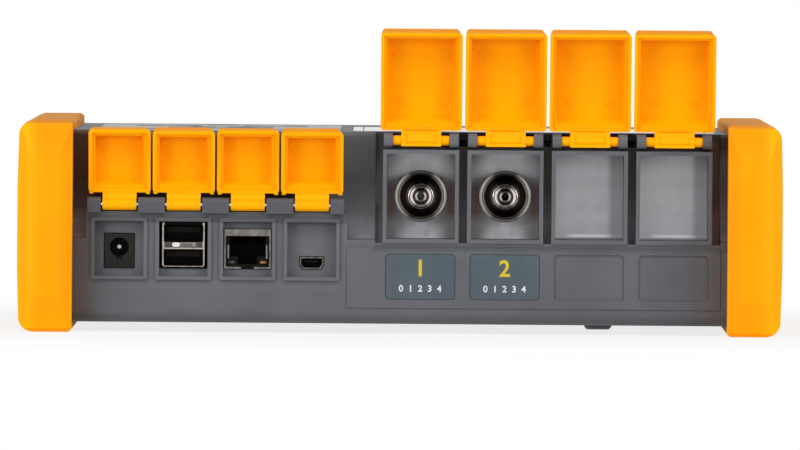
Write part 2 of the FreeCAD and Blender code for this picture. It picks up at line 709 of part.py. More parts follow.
def optical_panel():
    back = bay_floor_y + bay_floor_thickness
    solids = [
        box(optical_left, optical_right, bay_floor_y, back, optical_shelf_bottom, plate_under),
        box(optical_left, optical_right, bay_rim_y + bay_rim_proud, bay_floor_y, optical_shelf_bottom, bay_bottom),
    ]
    for x in bay_xs:
        half = bay_w / 2
        solids.append(box(x - half, x + half, bay_rim_y, bay_floor_y, bay_bottom, bay_top))
        for side in (-1, 1):
            inner = x + side * large_arm_inner
            outer = x + side * (large_arm_inner + large_arm_w)
            tip = large_hinge_y - large_arm_drop
            low, high = large_hinge_z - large_arm_drop, large_hinge_z + large_arm_drop
            arm = box(min(inner, outer), max(inner, outer), tip, bay_floor_y, low, high)
            nose = edges_where(arm, lambda e: along(e, AXIS_X) and at(e.CenterOfMass.y, tip))
            root = box(min(inner, outer), max(inner, outer), bay_floor_y - wall, bay_floor_y,
                       bay_top - 0.5, low + 0.5)
            solids += [arm.makeFillet(0.75 * large_arm_drop, nose), root]
    panel = fuse(solids)
    tools = []
    for i, x in enumerate(bay_xs):
        half = bay_w / 2 - bay_rim
        tools.append(box(x - half, x + half, bay_rim_y - 1, bay_floor_y,
                         bay_bottom + bay_rim, bay_top - bay_rim))
        bore = large_arm_inner + large_arm_w - trunnion_skin
        tools.append(rod(V(x - bore, large_hinge_y, large_hinge_z), AXIS_X, trunnion_r + trunnion_gap, 2 * bore))
        if i in adapter_bays:
            tools.append(rod(V(x, bay_floor_y - 1, adapter_z), AXIS_Y, adapter_shank_r + 0.05, 20))
    for x in bay_xs[:-1]:
        middle = x + bay_pitch / 2
        tools.append(box(middle - slot_w / 2, middle + slot_w / 2, bay_floor_y - 1, back + 1,
                         bay_top + 1, plate_under + 1))
    return cut(panel, *tools)


# ---------------------------------------------------------------- caps
def drafted_block(width, top, height, near, far, draft):
    """Block along Y whose sides draw in by the draft from near to far."""
    wires = []
    for y, d, skew in ((near, 0, 0), (far, draft, cap_draft_skew)):
        x0, x1, z0, z1 = d - skew - width / 2, width / 2 - d - skew, top - height + d, top - d
        wires.append(Part.makePolygon([V(x0, y, z0), V(x1, y, z0), V(x1, y, z1), V(x0, y, z1), V(x0, y, z0)]))
    return Part.makeLoft(wires, True, True)


def sloping(edge):
    """True for the four corner edges of a drafted block."""
    return abs(edge.tangentAt(edge.FirstParameter).y) > 0.7


def cap_shell(width, top, height, depth, skin, rim_y, corner):
    """Hollow cover standing against the plane rim_y and closed towards -Y, with a ledge inside its rim."""
    end_y = rim_y - depth
    draft = cap_draft
    outer = drafted_block(width, top, height, rim_y, end_y, draft)
    outer = outer.makeFillet(corner, edges_where(outer, sloping))
    outer = outer.makeChamfer(cap_edge, edges_where(outer, lambda e: at(e.BoundBox.YMax, end_y)))
    inner = drafted_block(width - 2 * skin, top - skin, height - 2 * skin, rim_y, end_y + skin, draft)
    inner = inner.makeFillet(corner / 2, edges_where(inner, sloping))
    lip = skin - cap_step
    mouth = box(lip - width / 2, width / 2 - lip, rim_y - cap_step_depth, rim_y + 1,
                top - height + lip, top - lip)
    marks = [rod(V(side * width * 0.28, end_y + skin - 0.01, top - height * share), AXIS_Y, ejector_r, ejector_h)
             for side in (-1, 1) for share in (0.3, 0.72)]
    return fuse([cut(outer, inner, mouth)] + marks)


def small_cap(index):
    x = socket_xs[index]
    rim_y = body_near - socket_rim_proud - small_seat_gap
    cap = cap_shell(small_cap_w, small_cap_top, small_cap_h, small_cap_depth, small_cap_wall, rim_y, cap_corner)
    half = small_tab_w / 2
    hy, hz, r = small_hinge_y, small_hinge_z, small_knuckle_r
    tab = profile_yz([(rim_y, small_cap_top - 1.0), (rim_y, small_cap_top + 0.6), (hy + r, hz),
                      (hy, hz + r), (hy - r, hz + r), (hy - r - 2.2, small_cap_top - 0.8)], -half, half)
    knuckle = rod(V(-half, hy, hz), AXIS_X, r, small_tab_w)
    toe = small_cap_w / 2 - 0.3
    toes = [box(x0, x0 + small_cap_toe_w, rim_y - 1.5, rim_y, small_cap_top - 1, small_cap_top + small_cap_toe_h)
            for x0 in (-toe, toe - small_cap_toe_w)]
    cap = fuse([cap, tab, knuckle] + toes)
    cap = cut(cap, rod(V(-half - 1, hy, hz), AXIS_X, hinge_pin_r + pin_running_gap, small_tab_w + 2))
    cap.rotate(V(0, hy, hz), AXIS_X, -small_cap_open[index])
    cap.translate(V(x, 0, 0))
    return cap


def large_cap(index):
    x = bay_xs[index]
    rim_y = bay_rim_y - large_seat_gap
    cap = cap_shell(large_cap_w, large_cap_top, large_cap_h, large_cap_depth, large_cap_wall, rim_y, cap_corner)
    half, recess = large_tab_w / 2, large_tab_recess_w / 2
    hy, hz, r = large_hinge_y, large_hinge_z, large_knuckle_r
    tab = profile_yz([(rim_y, large_cap_top - 1.0), (rim_y, large_cap_top + 0.4), (hy + r, hz),
                      (hy, hz + r), (hy - r, hz + r), (hy - r - 3.2, large_cap_top - 0.9)], -half, half)
    pocket = profile_yz([(rim_y - 0.4, large_cap_top + 0.1), (hy + r + 0.4, hz - 1.4), (hy + r + 3, hz - 3),
                         (rim_y + 3, large_cap_top - 3)], -recess, recess)
    knuckle = rod(V(-large_knuckle_w / 2, hy, hz), AXIS_X, r, large_knuckle_w)
    reach = large_arm_inner + large_arm_w - trunnion_skin - trunnion_end_gap
    trunnion = rod(V(-reach, hy, hz), AXIS_X, trunnion_r, 2 * reach)
    cap = cut(fuse([cap, tab, knuckle]), pocket).fuse(trunnion).removeSplitter()
    cap.rotate(V(0, hy, hz), AXIS_X, -large_cap_open)
    face = hy - r - large_tab_proud
    low, high = hz - large_tab_frame_h / 2, hz + large_tab_frame_h / 2
    frame = box(-half, half, face, hy, low, high)
    sunk = box(-recess, recess, face - 1, face + 2 * large_tab_proud, low + 1.0, high + 1)
    cap = cap.fuse(frame.cut(sunk)).removeSplitter()
    cap.translate(V(x, 0, 0))
    return cap


def cap_hinge_pins():
    length = pin_length()
    return Part.makeCompound([rod(V(x - length / 2, small_hinge_y, small_hinge_z), AXIS_X, hinge_pin_r, length)
                              for x in socket_xs])


# ---------------------------------------------------------------- connectors
def on_board(x, width, height, length):
    return box(x - width / 2, x + width / 2, connector_face_y, connector_face_y + length, board_top,
               board_top + height)


def power_jack():
    x = socket_xs[0]
    body = on_board(x, jack_w, jack_h, jack_l)
    z = board_top + jack_bore_rise
    bore = rod(V(x, connector_face_y, z), AXIS_Y, jack_bore_r, jack_bore_l)
    notch = box(x - 1.1, x + 1.1, connector_face_y - 1, connector_face_y + 3, z - jack_bore_r - 1.0, z)
    return cut(body, bore, notch)


def power_jack_pin():
    x = socket_xs[0]
    length = jack_bore_l - 1.2
    pin = rod(V(x, connector_face_y + jack_bore_l - length, board_top + jack_bore_rise), AXIS_Y, jack_pin_r, length)
    tip = edges_where(pin, lambda e: at(e.CenterOfMass.y, connector_face_y + jack_bore_l - length))
    return pin.makeChamfer(0.45, tip)


def usb_shell():
    x = socket_xs[1]
    body = on_board(x, usb_w, usb_h, usb_l)
    mouths = [box(x - usb_mouth_w / 2, x + usb_mouth_w / 2, connector_face_y - 1, connector_face_y + usb_mouth_l,
                  board_top + rise, board_top + rise + usb_mouth_h) for rise in usb_mouth_rises]
    lower = edges_where(body, lambda e: along(e, AXIS_Y) and at(e.CenterOfMass.z, board_top))
    return cut(body.makeChamfer(1.0, lower), *mouths)


def usb_tongues():
    x = socket_xs[1]
    y1 = connector_face_y + usb_mouth_l
    tongues = []
    for rise in usb_mouth_rises:
        z = board_top + rise + usb_mouth_h - 0.6
        tongues.append(box(x - usb_tongue_w / 2, x + usb_tongue_w / 2, y1 - usb_tongue_l, y1, z - usb_tongue_t, z))
    return Part.makeCompound(tongues)


def network_mouth(x, y0, y1):
    """Plug opening with its latch notch below, as two boxes."""
    z1 = board_top + net_h - net_lintel
    z0 = z1 - net_mouth_h
    return [box(x - net_mouth_w / 2, x + net_mouth_w / 2, y0, y1, z0, z1),
            box(x - net_latch_w / 2, x + net_latch_w / 2, y0, y1, z0 - net_latch_h, z0 + 0.1)]


def network_shield():
    x = socket_xs[2]
    body = on_board(x, net_w, net_h, net_l)
    inner = x - net_w / 2 + net_skin, x + net_w / 2 - net_skin
    room = box(*inner, connector_face_y + net_skin, connector_face_y + net_l - net_skin,
               board_top + net_skin, board_top + net_h - net_skin)
    mouth = box(*inner, connector_face_y - 1, connector_face_y + 1, board_top + net_skin,
                board_top + net_h - net_lintel)
    return cut(body, room, mouth)


def network_insert():
    x = socket_xs[2]
    s = net_skin
    body = box(x - net_w / 2 + s, x + net_w / 2 - s, connector_face_y + s, connector_face_y + net_l - s,
               board_top + s, board_top + net_h - s)
    return cut(body, *network_mouth(x, connector_face_y - 1, connector_face_y + net_mouth_l))


def network_contacts():
    x = socket_xs[2]
    z1 = board_top + net_h - net_lintel
    wires = []
    for i in range(8):
        cx = x + (i - 3.5) * net_wire_pitch
        wire = profile_yz([(connector_face_y + 3.0, z1), (connector_face_y + 3.6, z1),
                           (connector_face_y + 9.5, z1 - 1.9), (connector_face_y + 9.2, z1 - 2.3)],
                          cx - net_wire_w / 2, cx + net_wire_w / 2)
        wires.append(wire)
    return Part.makeCompound(wires)


def mini_usb_shell():
    x = socket_xs[3]
    y0, y1 = connector_face_y, connector_face_y + mini_l
    return cut(mini_prism(x, 0, y0, y1), mini_prism(x, -mini_skin, y0 - 1, y1 - 1.2))


def mini_usb_tongue():
    x = socket_xs[3]
    z = board_top + mini_h / 2 + 0.2
    return box(x - 2.4, x + 2.4, connector_face_y + 1.2, connector_face_y + mini_l - 1.2, z, z + 0.8)


def fibre_adapter(x):
    """Turned adapter body: dished flange, collar, threaded barrel and rear shank, as one revolved outline."""
    floor = bay_floor_y
    seat = floor - blank_t - adapter_nut_t
    flange = seat - adapter_flange_t
    outline = [
        (sleeve_r, floor + adapter_shank_l), (adapter_shank_r, floor + adapter_shank_l),
        (adapter_shank_r, seat), (adapter_flange_r, seat), (adapter_flange_r, flange + 0.5),
        (adapter_flange_r - 0.5, flange), (adapter_lip_r, flange), (adapter_lip_r, flange + 0.9),
        (adapter_dish_r, flange + 0.9), (adapter_dish_r, seat - 0.8), (adapter_collar_r, seat - 0.8),
        (adapter_collar_r, seat - 2.2), (adapter_barrel_r, seat - 2.9),
        (adapter_barrel_r, seat - adapter_barrel_l + 0.5), (adapter_barrel_r - 0.5, seat - adapter_barrel_l),
        (sleeve_r + 0.6, seat - adapter_barrel_l), (sleeve_r + 0.6, seat - adapter_barrel_l + 1.4),
        (sleeve_r, seat - adapter_barrel_l + 1.4),
    ]
    wire = Part.makePolygon([V(x + r, y, adapter_z) for r, y in outline + outline[:1]])
    return Part.Face(wire).revolve(V(x, 0, adapter_z), AXIS_Y, 360)


def adapter_nuts():
    """Washer nut behind each flange: round, with two square shoulders on top for a spanner."""
    nuts = []
    back = bay_floor_y - blank_t
    for i in adapter_bays:
        x = bay_xs[i]
        disc = rod(V(x, back, adapter_z), V(0, -1, 0), adapter_flange_r - 0.3, adapter_nut_t)
        half = adapter_nut_flats / 2
        shoulders = box(x - half, x + half, back - adapter_nut_t, back, adapter_z, adapter_z + adapter_nut_rise)
        nut = disc.fuse(shoulders).removeSplitter()
        nuts.append(nut.cut(rod(V(x, back + 1, adapter_z), V(0, -1, 0), adapter_shank_r + 0.05, 4)))
    return Part.makeCompound(nuts)


def adapter_sleeves():
    sleeves = []
    for i in adapter_bays:
        start = bay_floor_y - blank_t - adapter_nut_t - adapter_barrel_l + 0.6
        tube = rod(V(bay_xs[i], start, adapter_z), AXIS_Y, sleeve_r, sleeve_l)
        sleeves.append(tube.cut(rod(V(bay_xs[i], start - 1, adapter_z), AXIS_Y, ferrule_r, sleeve_l + 2)))
    return Part.makeCompound(sleeves)


def bay_plate(i):
    """Thin plate on the floor of a bay."""
    x, inset = bay_xs[i], bay_rim + blank_gap
    half = bay_w / 2 - inset
    return box(x - half, x + half, bay_floor_y - blank_t, bay_floor_y, bay_bottom + inset, bay_top - inset)


def blanking_plates():
    return Part.makeCompound([bay_plate(i) for i in blank_bays])


def adapter_plates():
    return Part.makeCompound([cut(bay_plate(i), rod(V(bay_xs[i], bay_floor_y - 10, adapter_z), AXIS_Y,
                                                    adapter_shank_r + 0.05, 20)) for i in adapter_bays])


# ---------------------------------------------------------------- screen and keypad
def display_glass():
    x0, x1, y0, y1 = screen_glass
    g = 0.1
    return slab(x0 + g, x1 - g, y0 + g, y1 - g, body_top - glass_t, body_top - 0.1, 1.9)


def display_gasket():
    x0, x1, y0, y1 = screen_glass
    ring = slab(x0 + 1, x1 - 1, y0 + 1, y1 - 1, plate_under - gasket_t, plate_under, 1.5)
    rim = screen_border
    return cut(ring, slab(x0 + rim, x1 - rim, y0 + rim, y1 - rim, 0, REACH, 1.0))


def display_panel():
    x0, x1, y0, y1 = screen_glass
    top = plate_under - gasket_t
    return box(x0 + 1, x1 - 1, y0 + 1, y1 - 1, top - screen_panel_t, top)


def keypad_overlay():
    x0, x1, y0, y1 = overlay_area
    g = film_gap
    sheet = slab(x0 + g, x1 - g, y0 + g, y1 - g, body_top - overlay_t, body_top, overlay_round - g)
    holes = [prism(key_gap, 0, REACH) for _, prism in key_layout()]
    holes += [rod(V(x, lamp_y, 0), AXIS_Z, lamp_r + lamp_gap, REACH) for x in lamp_xs()]
    return cut(sheet, *holes)


def key(prism):
    under = plate_under - key_seat_gap
    cap = prism(0, under, body_top + key_proud)
    crown = edges_where(cap, lambda e: at(e.BoundBox.ZMin, body_top + key_proud))
    cap = cap.makeChamfer(key_edge, crown)
    return cap.fuse(prism(key_flange, under - key_flange_t, under)).removeSplitter()


def key_mat():
    x0, x1, y0, y1 = overlay_area
    top = plate_under - key_space() + mat_t
    sheet = slab(x0 + 2, x1 - 2, y0 + 10, y1 - 2, top - mat_t, top, 3.0)
    holes = [rod(V(x, y, 0), AXIS_Z, 2.8, REACH) for x, y in keypad_screw_spots()]
    return cut(sheet, *holes)


def keypad_board():
    x0, x1, y0, y1 = overlay_area
    top = plate_under - key_space()
    return slab(x0 + 1, x1 - 1, y0 + 3, y1 - 1, top - keypad_board_t, top, 3.0)


def status_lamps():
    top = plate_under - key_space()
    return Part.makeCompound([rod(V(x, lamp_y, top), AXIS_Z, lamp_r, body_top - top) for x in lamp_xs()])


# ---------------------------------------------------------------- inside
def main_board():
    board = box(-board_half_x, board_half_x, board_near, board_far, board_bottom, board_top)
    holes = [rod(V(x, y, 0), AXIS_Z, 1.6, REACH) for x, y in board_posts()]
    return cut(board, *holes)


def board_screws():
    screws = []
    for x, y in board_posts():
        shank = rod(V(x, y, board_bottom - 6), AXIS_Z, 1.25, 6 + board_t)
        screws.append(shank.fuse(rod(V(x, y, board_top), AXIS_Z, 2.6, 1.8)))
    return Part.makeCompound(screws)


def optical_module():
    case = box(module_x0, module_x0 + module_w, module_y0, module_y0 + module_d, board_top, board_top + module_h)
    uprights = edges_where(case, lambda e: along(e, AXIS_Z))
    case = case.makeFillet(3.0, uprights)
    gland = rod(V(bay_xs[1], module_y0, board_top + gland_rise), V(0, -1, 0), gland_r, gland_l)
    return case.fuse(gland).removeSplitter()


def fault_laser():
    start = bay_floor_y + adapter_shank_l
    laser = rod(V(bay_xs[0], start, adapter_z), AXIS_Y, laser_r, laser_l)
    tail = rod(V(bay_xs[0], start + laser_l, adapter_z), AXIS_Y, laser_tail_r, laser_tail_l)
    return laser.fuse(tail).removeSplitter()


def fibre_pigtail():
    """Buffered fibre from the rear of the test adapter down into the optical module, in two opposite bends."""
    x = bay_xs[1]
    start = V(x, bay_floor_y + adapter_shank_l, adapter_z)
    finish = V(x, module_y0 - gland_l, board_top + gland_rise)
    half_drop = (start.z - finish.z) / 2
    half_run = (finish.y - start.y) / 2 - fibre_lead
    radius = (half_drop ** 2 + half_run ** 2) / (2 * half_drop)
    turn = math.degrees(2 * math.atan(half_drop / half_run))
    first = start + V(0, fibre_lead, 0)
    last = finish - V(0, fibre_lead, 0)
    section = Part.Face(Part.Wire(Part.makeCircle(fibre_r, V(0, 0, 0), AXIS_Y)))
    upper, lower = section.copy(), section.copy()
    upper.translate(first)
    lower.translate(last)
    return fuse([
        rod(start, AXIS_Y, fibre_r, fibre_lead),
        upper.revolve(first - V(0, 0, radius), AXIS_X, -turn),
        lower.revolve(last + V(0, 0, radius), AXIS_X, -turn),
        rod(last, AXIS_Y, fibre_r, fibre_lead),
    ])


def battery_pack():
    x0, x1, y0, y1 = battery_area
    pack = box(x0, x1, y0, y1, body_bottom + cover_t, body_bottom + cover_t + battery_t)
    return pack.makeFillet(2.0, edges_where(pack, lambda e: along(e, AXIS_Y)))


def battery_cover():
    x0, x1, y0, y1 = battery_area
    lap, g = cover_lap, cover_gap
    plate = slab(x0 - lap + g, x1 + lap - g, y0 - lap + g, y1 + lap - g, body_bottom, body_bottom + cover_t, 2.85)
    holes = [rod(V(x, y, 0), AXIS_Z, 1.4, REACH) for x, y in cover_screw_spots()]
    holes += [rod(V(x, y, 0), AXIS_Z, 2.1, body_bottom + 1.1) for x, y in cover_screw_spots()]
    return cut(plate, *holes)


def battery_cover_screws():
    screws = []
    for x, y in cover_screw_spots():
        shank = rod(V(x, y, body_bottom + 1.1), AXIS_Z, 1.25, 6.0)
        screws.append(shank.fuse(rod(V(x, y, body_bottom + 0.2), AXIS_Z, 2.0, 0.9)))
    return Part.makeCompound(screws)


def case_screws():
    screws = []
    for side in (-1, 1):
        for y in case_screw_ys:
            seat = screw_floor - screw_head_h
            head = rod(V(side * case_screw_x, y, seat), AXIS_Z, screw_head_r, screw_head_h)
            drive = rod(V(side * case_screw_x, y, 0), AXIS_Z, 1.2, seat + 1.2)
            shank = rod(V(side * case_screw_x, y, screw_floor), AXIS_Z, screw_r - 0.05,
                        parting_height - screw_floor + 10.0)
            screws.append(head.fuse(shank).cut(drive))
    return Part.makeCompound(screws)


def buzzer():
    x, y = socket_xs[2], board_near + 30.0
    disc = rod(V(x, y, board_top), AXIS_Z, buzzer_r, buzzer_h)
    return cut(disc, rod(V(x, y, board_top + buzzer_h - 1.5), AXIS_Z, 1.2, 3))


# ---------------------------------------------------------------- stand and feet
def kickstand():
    hy, hz = stand_hinge_y, stand_hinge_z
    half_boss = stand_boss_w / 2
    boss = rod(V(stand_x - half_boss, hy, hz), AXIS_X, stand_boss_r, stand_boss_w)
    rims = edges_where(boss, lambda e: isinstance(e.Curve, Part.Circle))
    boss = boss.makeChamfer(0.9, rims)
    z0, z1 = body_bottom + 0.2, body_bottom + stand_leg_t
    leg_start = hy + stand_boss_r + 2.5
    half = stand_leg_w / 2
    leg = slab(stand_x - half, stand_x + half, leg_start, hy + stand_leg_l, z0, z1, 5.0)
    window = slab(stand_x - half + 7, stand_x + half - 7, leg_start + 16, hy + stand_leg_l - 14, 0, REACH, 4.0)
    neck = box(stand_x - half_boss, stand_x + half_boss, hy, leg_start + 2, z0, z1)
    stand = fuse([boss, leg.cut(window), neck])
    return cut(stand, rod(V(stand_x - 10, hy, hz), AXIS_X, stand_pin_r + pin_running_gap, 20))


def kickstand_pin():
    length = stand_boss_w + 2 * stand_lug_w
    return rod(V(stand_x - length / 2, stand_hinge_y, stand_hinge_z), AXIS_X, stand_pin_r, length)


# ---------------------------------------------------------------- export
def assembly():
    nodes = {
        "rear_shell": rear_shell(),
        "front_shell": front_shell(),
        "left_bumper": bumper(-1),
        "right_bumper": bumper(1),
        "socket_panel": socket_panel(),
        "optical_panel": optical_panel(),
        "power_cap": small_cap(0),
        "usb_cap": small_cap(1),
        "network_cap": small_cap(2),
        "mini_usb_cap": small_cap(3),
        "fault_laser_cap": large_cap(0),
        "test_port_cap": large_cap(1),
        "spare_cap_1": large_cap(2),
        "spare_cap_2": large_cap(3),
        "cap_hinge_pins": cap_hinge_pins(),
        "power_jack": power_jack(),
        "power_jack_pin": power_jack_pin(),
        "usb_shell": usb_shell(),
        "usb_tongues": usb_tongues(),
        "network_shield": network_shield(),
        "network_insert": network_insert(),
        "network_contacts": network_contacts(),
        "mini_usb_shell": mini_usb_shell(),
        "mini_usb_tongue": mini_usb_tongue(),
        "fault_laser_adapter": fibre_adapter(bay_xs[0]),
        "test_port_adapter": fibre_adapter(bay_xs[1]),
        "adapter_nuts": adapter_nuts(),
        "adapter_sleeves": adapter_sleeves(),
        "blanking_plates": blanking_plates(),
        "adapter_plates": adapter_plates(),
        "display_glass": display_glass(),
        "display_gasket": display_gasket(),
        "display_panel": display_panel(),
        "keypad_overlay": keypad_overlay(),
        "key_mat": key_mat(),
        "keypad_board": keypad_board(),
        "status_lamps": status_lamps(),
        "main_board": main_board(),
        "board_screws": board_screws(),
        "optical_module": optical_module(),
        "fault_laser": fault_laser(),
        "fibre_pigtail": fibre_pigtail(),
        "battery_pack": battery_pack(),
        "battery_cover": battery_cover(),
        "battery_cover_screws": battery_cover_screws(),
        "case_screws": case_screws(),
        "buzzer": buzzer(),
        "kickstand": kickstand(),
        "kickstand_pin": kickstand_pin(),
    }
    for name, prism in key_layout():
        nodes[name] = key(prism)
    return nodes


def main():
    os.makedirs("parts", exist_ok=True)
    for name, shape in assembly().items():
        shape.exportStep(os.path.join("parts", name + ".step"))
        print(f"{name}: {len(shape.Solids)} solid, {shape.Volume / 1000:.2f} cm3, valid {shape.isValid()}")


main()
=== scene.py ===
"""Looks for the handheld fibre tester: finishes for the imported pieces, small trim, light and camera.

Frame: metres, +Z up through the screen, -Y out of the connector end, X along the long side.
Places and sizes on the object are in millimetres, and MM turns them into metres. The floor, the lamps
and the camera's distance are in metres.
"""
import math

import bpy
from mathutils import Matrix, Vector


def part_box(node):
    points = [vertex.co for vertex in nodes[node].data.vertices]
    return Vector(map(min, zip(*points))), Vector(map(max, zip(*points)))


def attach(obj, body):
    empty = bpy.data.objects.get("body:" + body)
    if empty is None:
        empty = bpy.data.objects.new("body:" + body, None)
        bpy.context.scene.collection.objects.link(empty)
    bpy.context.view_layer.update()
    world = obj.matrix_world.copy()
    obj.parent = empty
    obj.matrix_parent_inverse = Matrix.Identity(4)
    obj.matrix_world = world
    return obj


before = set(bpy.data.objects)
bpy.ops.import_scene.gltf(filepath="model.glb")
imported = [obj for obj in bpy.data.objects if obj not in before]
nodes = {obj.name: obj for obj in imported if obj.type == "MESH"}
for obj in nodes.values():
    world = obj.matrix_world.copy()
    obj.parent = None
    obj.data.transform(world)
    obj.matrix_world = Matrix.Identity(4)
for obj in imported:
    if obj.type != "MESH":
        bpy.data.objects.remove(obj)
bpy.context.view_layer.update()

MM = 0.001


# ---------------------------------------------------------------- measures taken from the frame
def low(node):
    """The lowest corner of a node's box."""
    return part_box(node)[0] / MM


def high(node):
    """The highest corner of a node's box."""
    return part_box(node)[1] / MM


def middle(node):
    """The middle of a node's box."""
    bottom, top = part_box(node)
    return (bottom + top) / 2 / MM


adapter_xs = [middle("fault_laser_adapter").x, middle("test_port_adapter").x]
first_bay = adapter_xs[0]
bay_pitch = adapter_xs[1] - adapter_xs[0]
adapter_height = middle("test_port_adapter").z
parting = high("rear_shell").z
bay_foot = low("optical_panel").z
bays_left = low("optical_panel").x
panels_part = (high("socket_panel").x + bays_left) / 2
usb_floor, usb_roof = low("usb_shell").z, high("usb_shell").z
usb_wall = usb_floor + 6.3
network_floor = low("network_shield").z


# ---------------------------------------------------------------- colours and shader helpers
def paint(red, green, blue):
    """Linear colour from the 0-255 values of a paint chip."""
    def linear(v):
        v = v / 255
        return v / 12.92 if v <= 0.04045 else ((v + 0.055) / 1.055) ** 2.4
    return (linear(red), linear(green), linear(blue), 1.0)


def feed(tree, slot, value):
    """Links a socket to a slot, or sets a plain value in it."""
    if isinstance(value, bpy.types.NodeSocket):
        tree.links.new(value, slot)
    else:
        slot.default_value = value


def calculate(tree, operation, *values):
    """One math node on sockets or numbers."""
    node = tree.nodes.new("ShaderNodeMath")
    node.operation = operation
    for slot, value in zip(node.inputs, values):
        feed(tree, slot, value)
    return node.outputs["Value"]


def overlap(tree, *masks):
    """The masks multiplied: 1 only where each of them is 1."""
    product = masks[0]
    for mask in masks[1:]:
        product = calculate(tree, "MULTIPLY", product, mask)
    return product


def ramp(tree, value, low_end, high_end, start=0.0, end=1.0):
    """A number that goes from start to end while the value goes from its low end to its high end."""
    node = tree.nodes.new("ShaderNodeMapRange")
    node.inputs["From Min"].default_value = low_end
    node.inputs["From Max"].default_value = high_end
    node.inputs["To Min"].default_value = start
    node.inputs["To Max"].default_value = end
    tree.links.new(value, node.inputs["Value"])
    return node.outputs["Result"]


def mix_colours(tree, mask, first, second, blend="MIX"):
    """The first colour where the mask is 0, and the second, or the two blended, where it is 1."""
    mix = tree.nodes.new("ShaderNodeMix")
    mix.data_type = "RGBA"
    mix.blend_type = blend
    # A Mix node keeps its colours in slots 6 and 7, and its mixed colour in output 2.
    for slot, value in ((0, mask), (6, first), (7, second)):
        feed(tree, mix.inputs[slot], value)
    return mix.outputs[2]


def colour_stops(tree, value, stops):
    """A colour that changes along a value; stops are (value, colour) pairs in order."""
    node = tree.nodes.new("ShaderNodeValToRGB")
    points = node.color_ramp.elements
    first, last = stops[0][0], stops[-1][0]
    for i, (at, colour) in enumerate(stops):
        point = points[i] if i < 2 else points.new(1.0)
        point.position = (at - first) / (last - first)
        point.color = (*colour[:3], 1.0)
    tree.links.new(ramp(tree, value, first, last), node.inputs["Fac"])
    return node.outputs["Color"]


def overlay_colour(material, mask, colour, blend="MIX"):
    """Lays a second colour over the finish, or blends it in, where the mask is 1."""
    tree = material.node_tree
    base = tree.nodes["Principled BSDF"].inputs["Base Color"]
    tree.links.new(mix_colours(tree, mask, base.links[0].from_socket, colour, blend), base)


def lay_colours(material, *layers):
    """Overlays colours in turn; each layer is a mask and a colour."""
    for mask, colour in layers:
        overlay_colour(material, mask, colour)


def tint(material, value, stops, mask=1.0):
    """Multiplies the finish by a shade that runs along a value; stops are (value, shade) pairs in order."""
    overlay_colour(material, mask, colour_stops(material.node_tree, value, stops), "MULTIPLY")


def socket(group, name, direction, kind, default=None):
    """One named input or output of a node group."""
    item = group.interface.new_socket(name=name, in_out=direction, socket_type=kind)
    if default is not None:
        item.default_value = default


def moulded_grain():
    """Fine spark-eroded texture: a height made of noise and pits, and a slow mottle for colour and gloss."""
    group = bpy.data.node_groups.new("moulded grain", "ShaderNodeTree")
    socket(group, "Vector", "INPUT", "NodeSocketVector")
    socket(group, "Grain size", "INPUT", "NodeSocketFloat", 2500.0)
    socket(group, "Mottle size", "INPUT", "NodeSocketFloat", 60.0)
    socket(group, "Height", "OUTPUT", "NodeSocketFloat")
    socket(group, "Mottle", "OUTPUT", "NodeSocketFloat")
    n, link = group.nodes, group.links.new
    start, end = n.new("NodeGroupInput"), n.new("NodeGroupOutput")
    fine = n.new("ShaderNodeTexNoise")
    fine.inputs["Detail"].default_value = 2.0
    pits = n.new("ShaderNodeTexVoronoi")
    pits.feature = "SMOOTH_F1"
    pit_share = 0.4
    mix = n.new("ShaderNodeMix")
    mix.inputs[0].default_value = pit_share
    mottle = n.new("ShaderNodeTexNoise")
    mottle.inputs["Detail"].default_value = 4.0
    for texture, size in ((fine, "Grain size"), (pits, "Grain size"), (mottle, "Mottle size")):
        link(start.outputs["Vector"], texture.inputs["Vector"])
        link(start.outputs[size], texture.inputs["Scale"])
    # A Mix node keeps its numbers in slots 2 and 3, and its mixed number in output 0.
    link(fine.outputs["Fac"], mix.inputs[2])
    link(pits.outputs["Distance"], mix.inputs[3])
    link(mix.outputs[0], end.inputs["Height"])
    link(mottle.outputs["Fac"], end.inputs["Mottle"])
    return group


def two_tone():
    """Mixes two colours by a mask that is stretched about its middle."""
    group = bpy.data.node_groups.new("two tone", "ShaderNodeTree")
    socket(group, "Mask", "INPUT", "NodeSocketFloat", 0.5)
    socket(group, "Low", "INPUT", "NodeSocketFloat", 0.35)
    socket(group, "High", "INPUT", "NodeSocketFloat", 0.65)
    socket(group, "Dark", "INPUT", "NodeSocketColor")
    socket(group, "Light", "INPUT", "NodeSocketColor")
    socket(group, "Colour", "OUTPUT", "NodeSocketColor")
    n, link = group.nodes, group.links.new
    start, end = n.new("NodeGroupInput"), n.new("NodeGroupOutput")
    spread = n.new("ShaderNodeMapRange")
    link(start.outputs["Mask"], spread.inputs["Value"])
    link(start.outputs["Low"], spread.inputs["From Min"])
    link(start.outputs["High"], spread.inputs["From Max"])
    mixed = mix_colours(group, spread.outputs["Result"], start.outputs["Dark"], start.outputs["Light"])
    link(mixed, end.inputs["Colour"])
    return group


GRAIN = moulded_grain()
TONES = two_tone()


def place_group(tree, group, **values):
    """Places a node group in a material, with its own value for each input that is named."""
    node = tree.nodes.new("ShaderNodeGroup")
    node.node_tree = group
    for name, value in values.items():
        node.inputs[name.replace("_", " ")].default_value = value
    return node


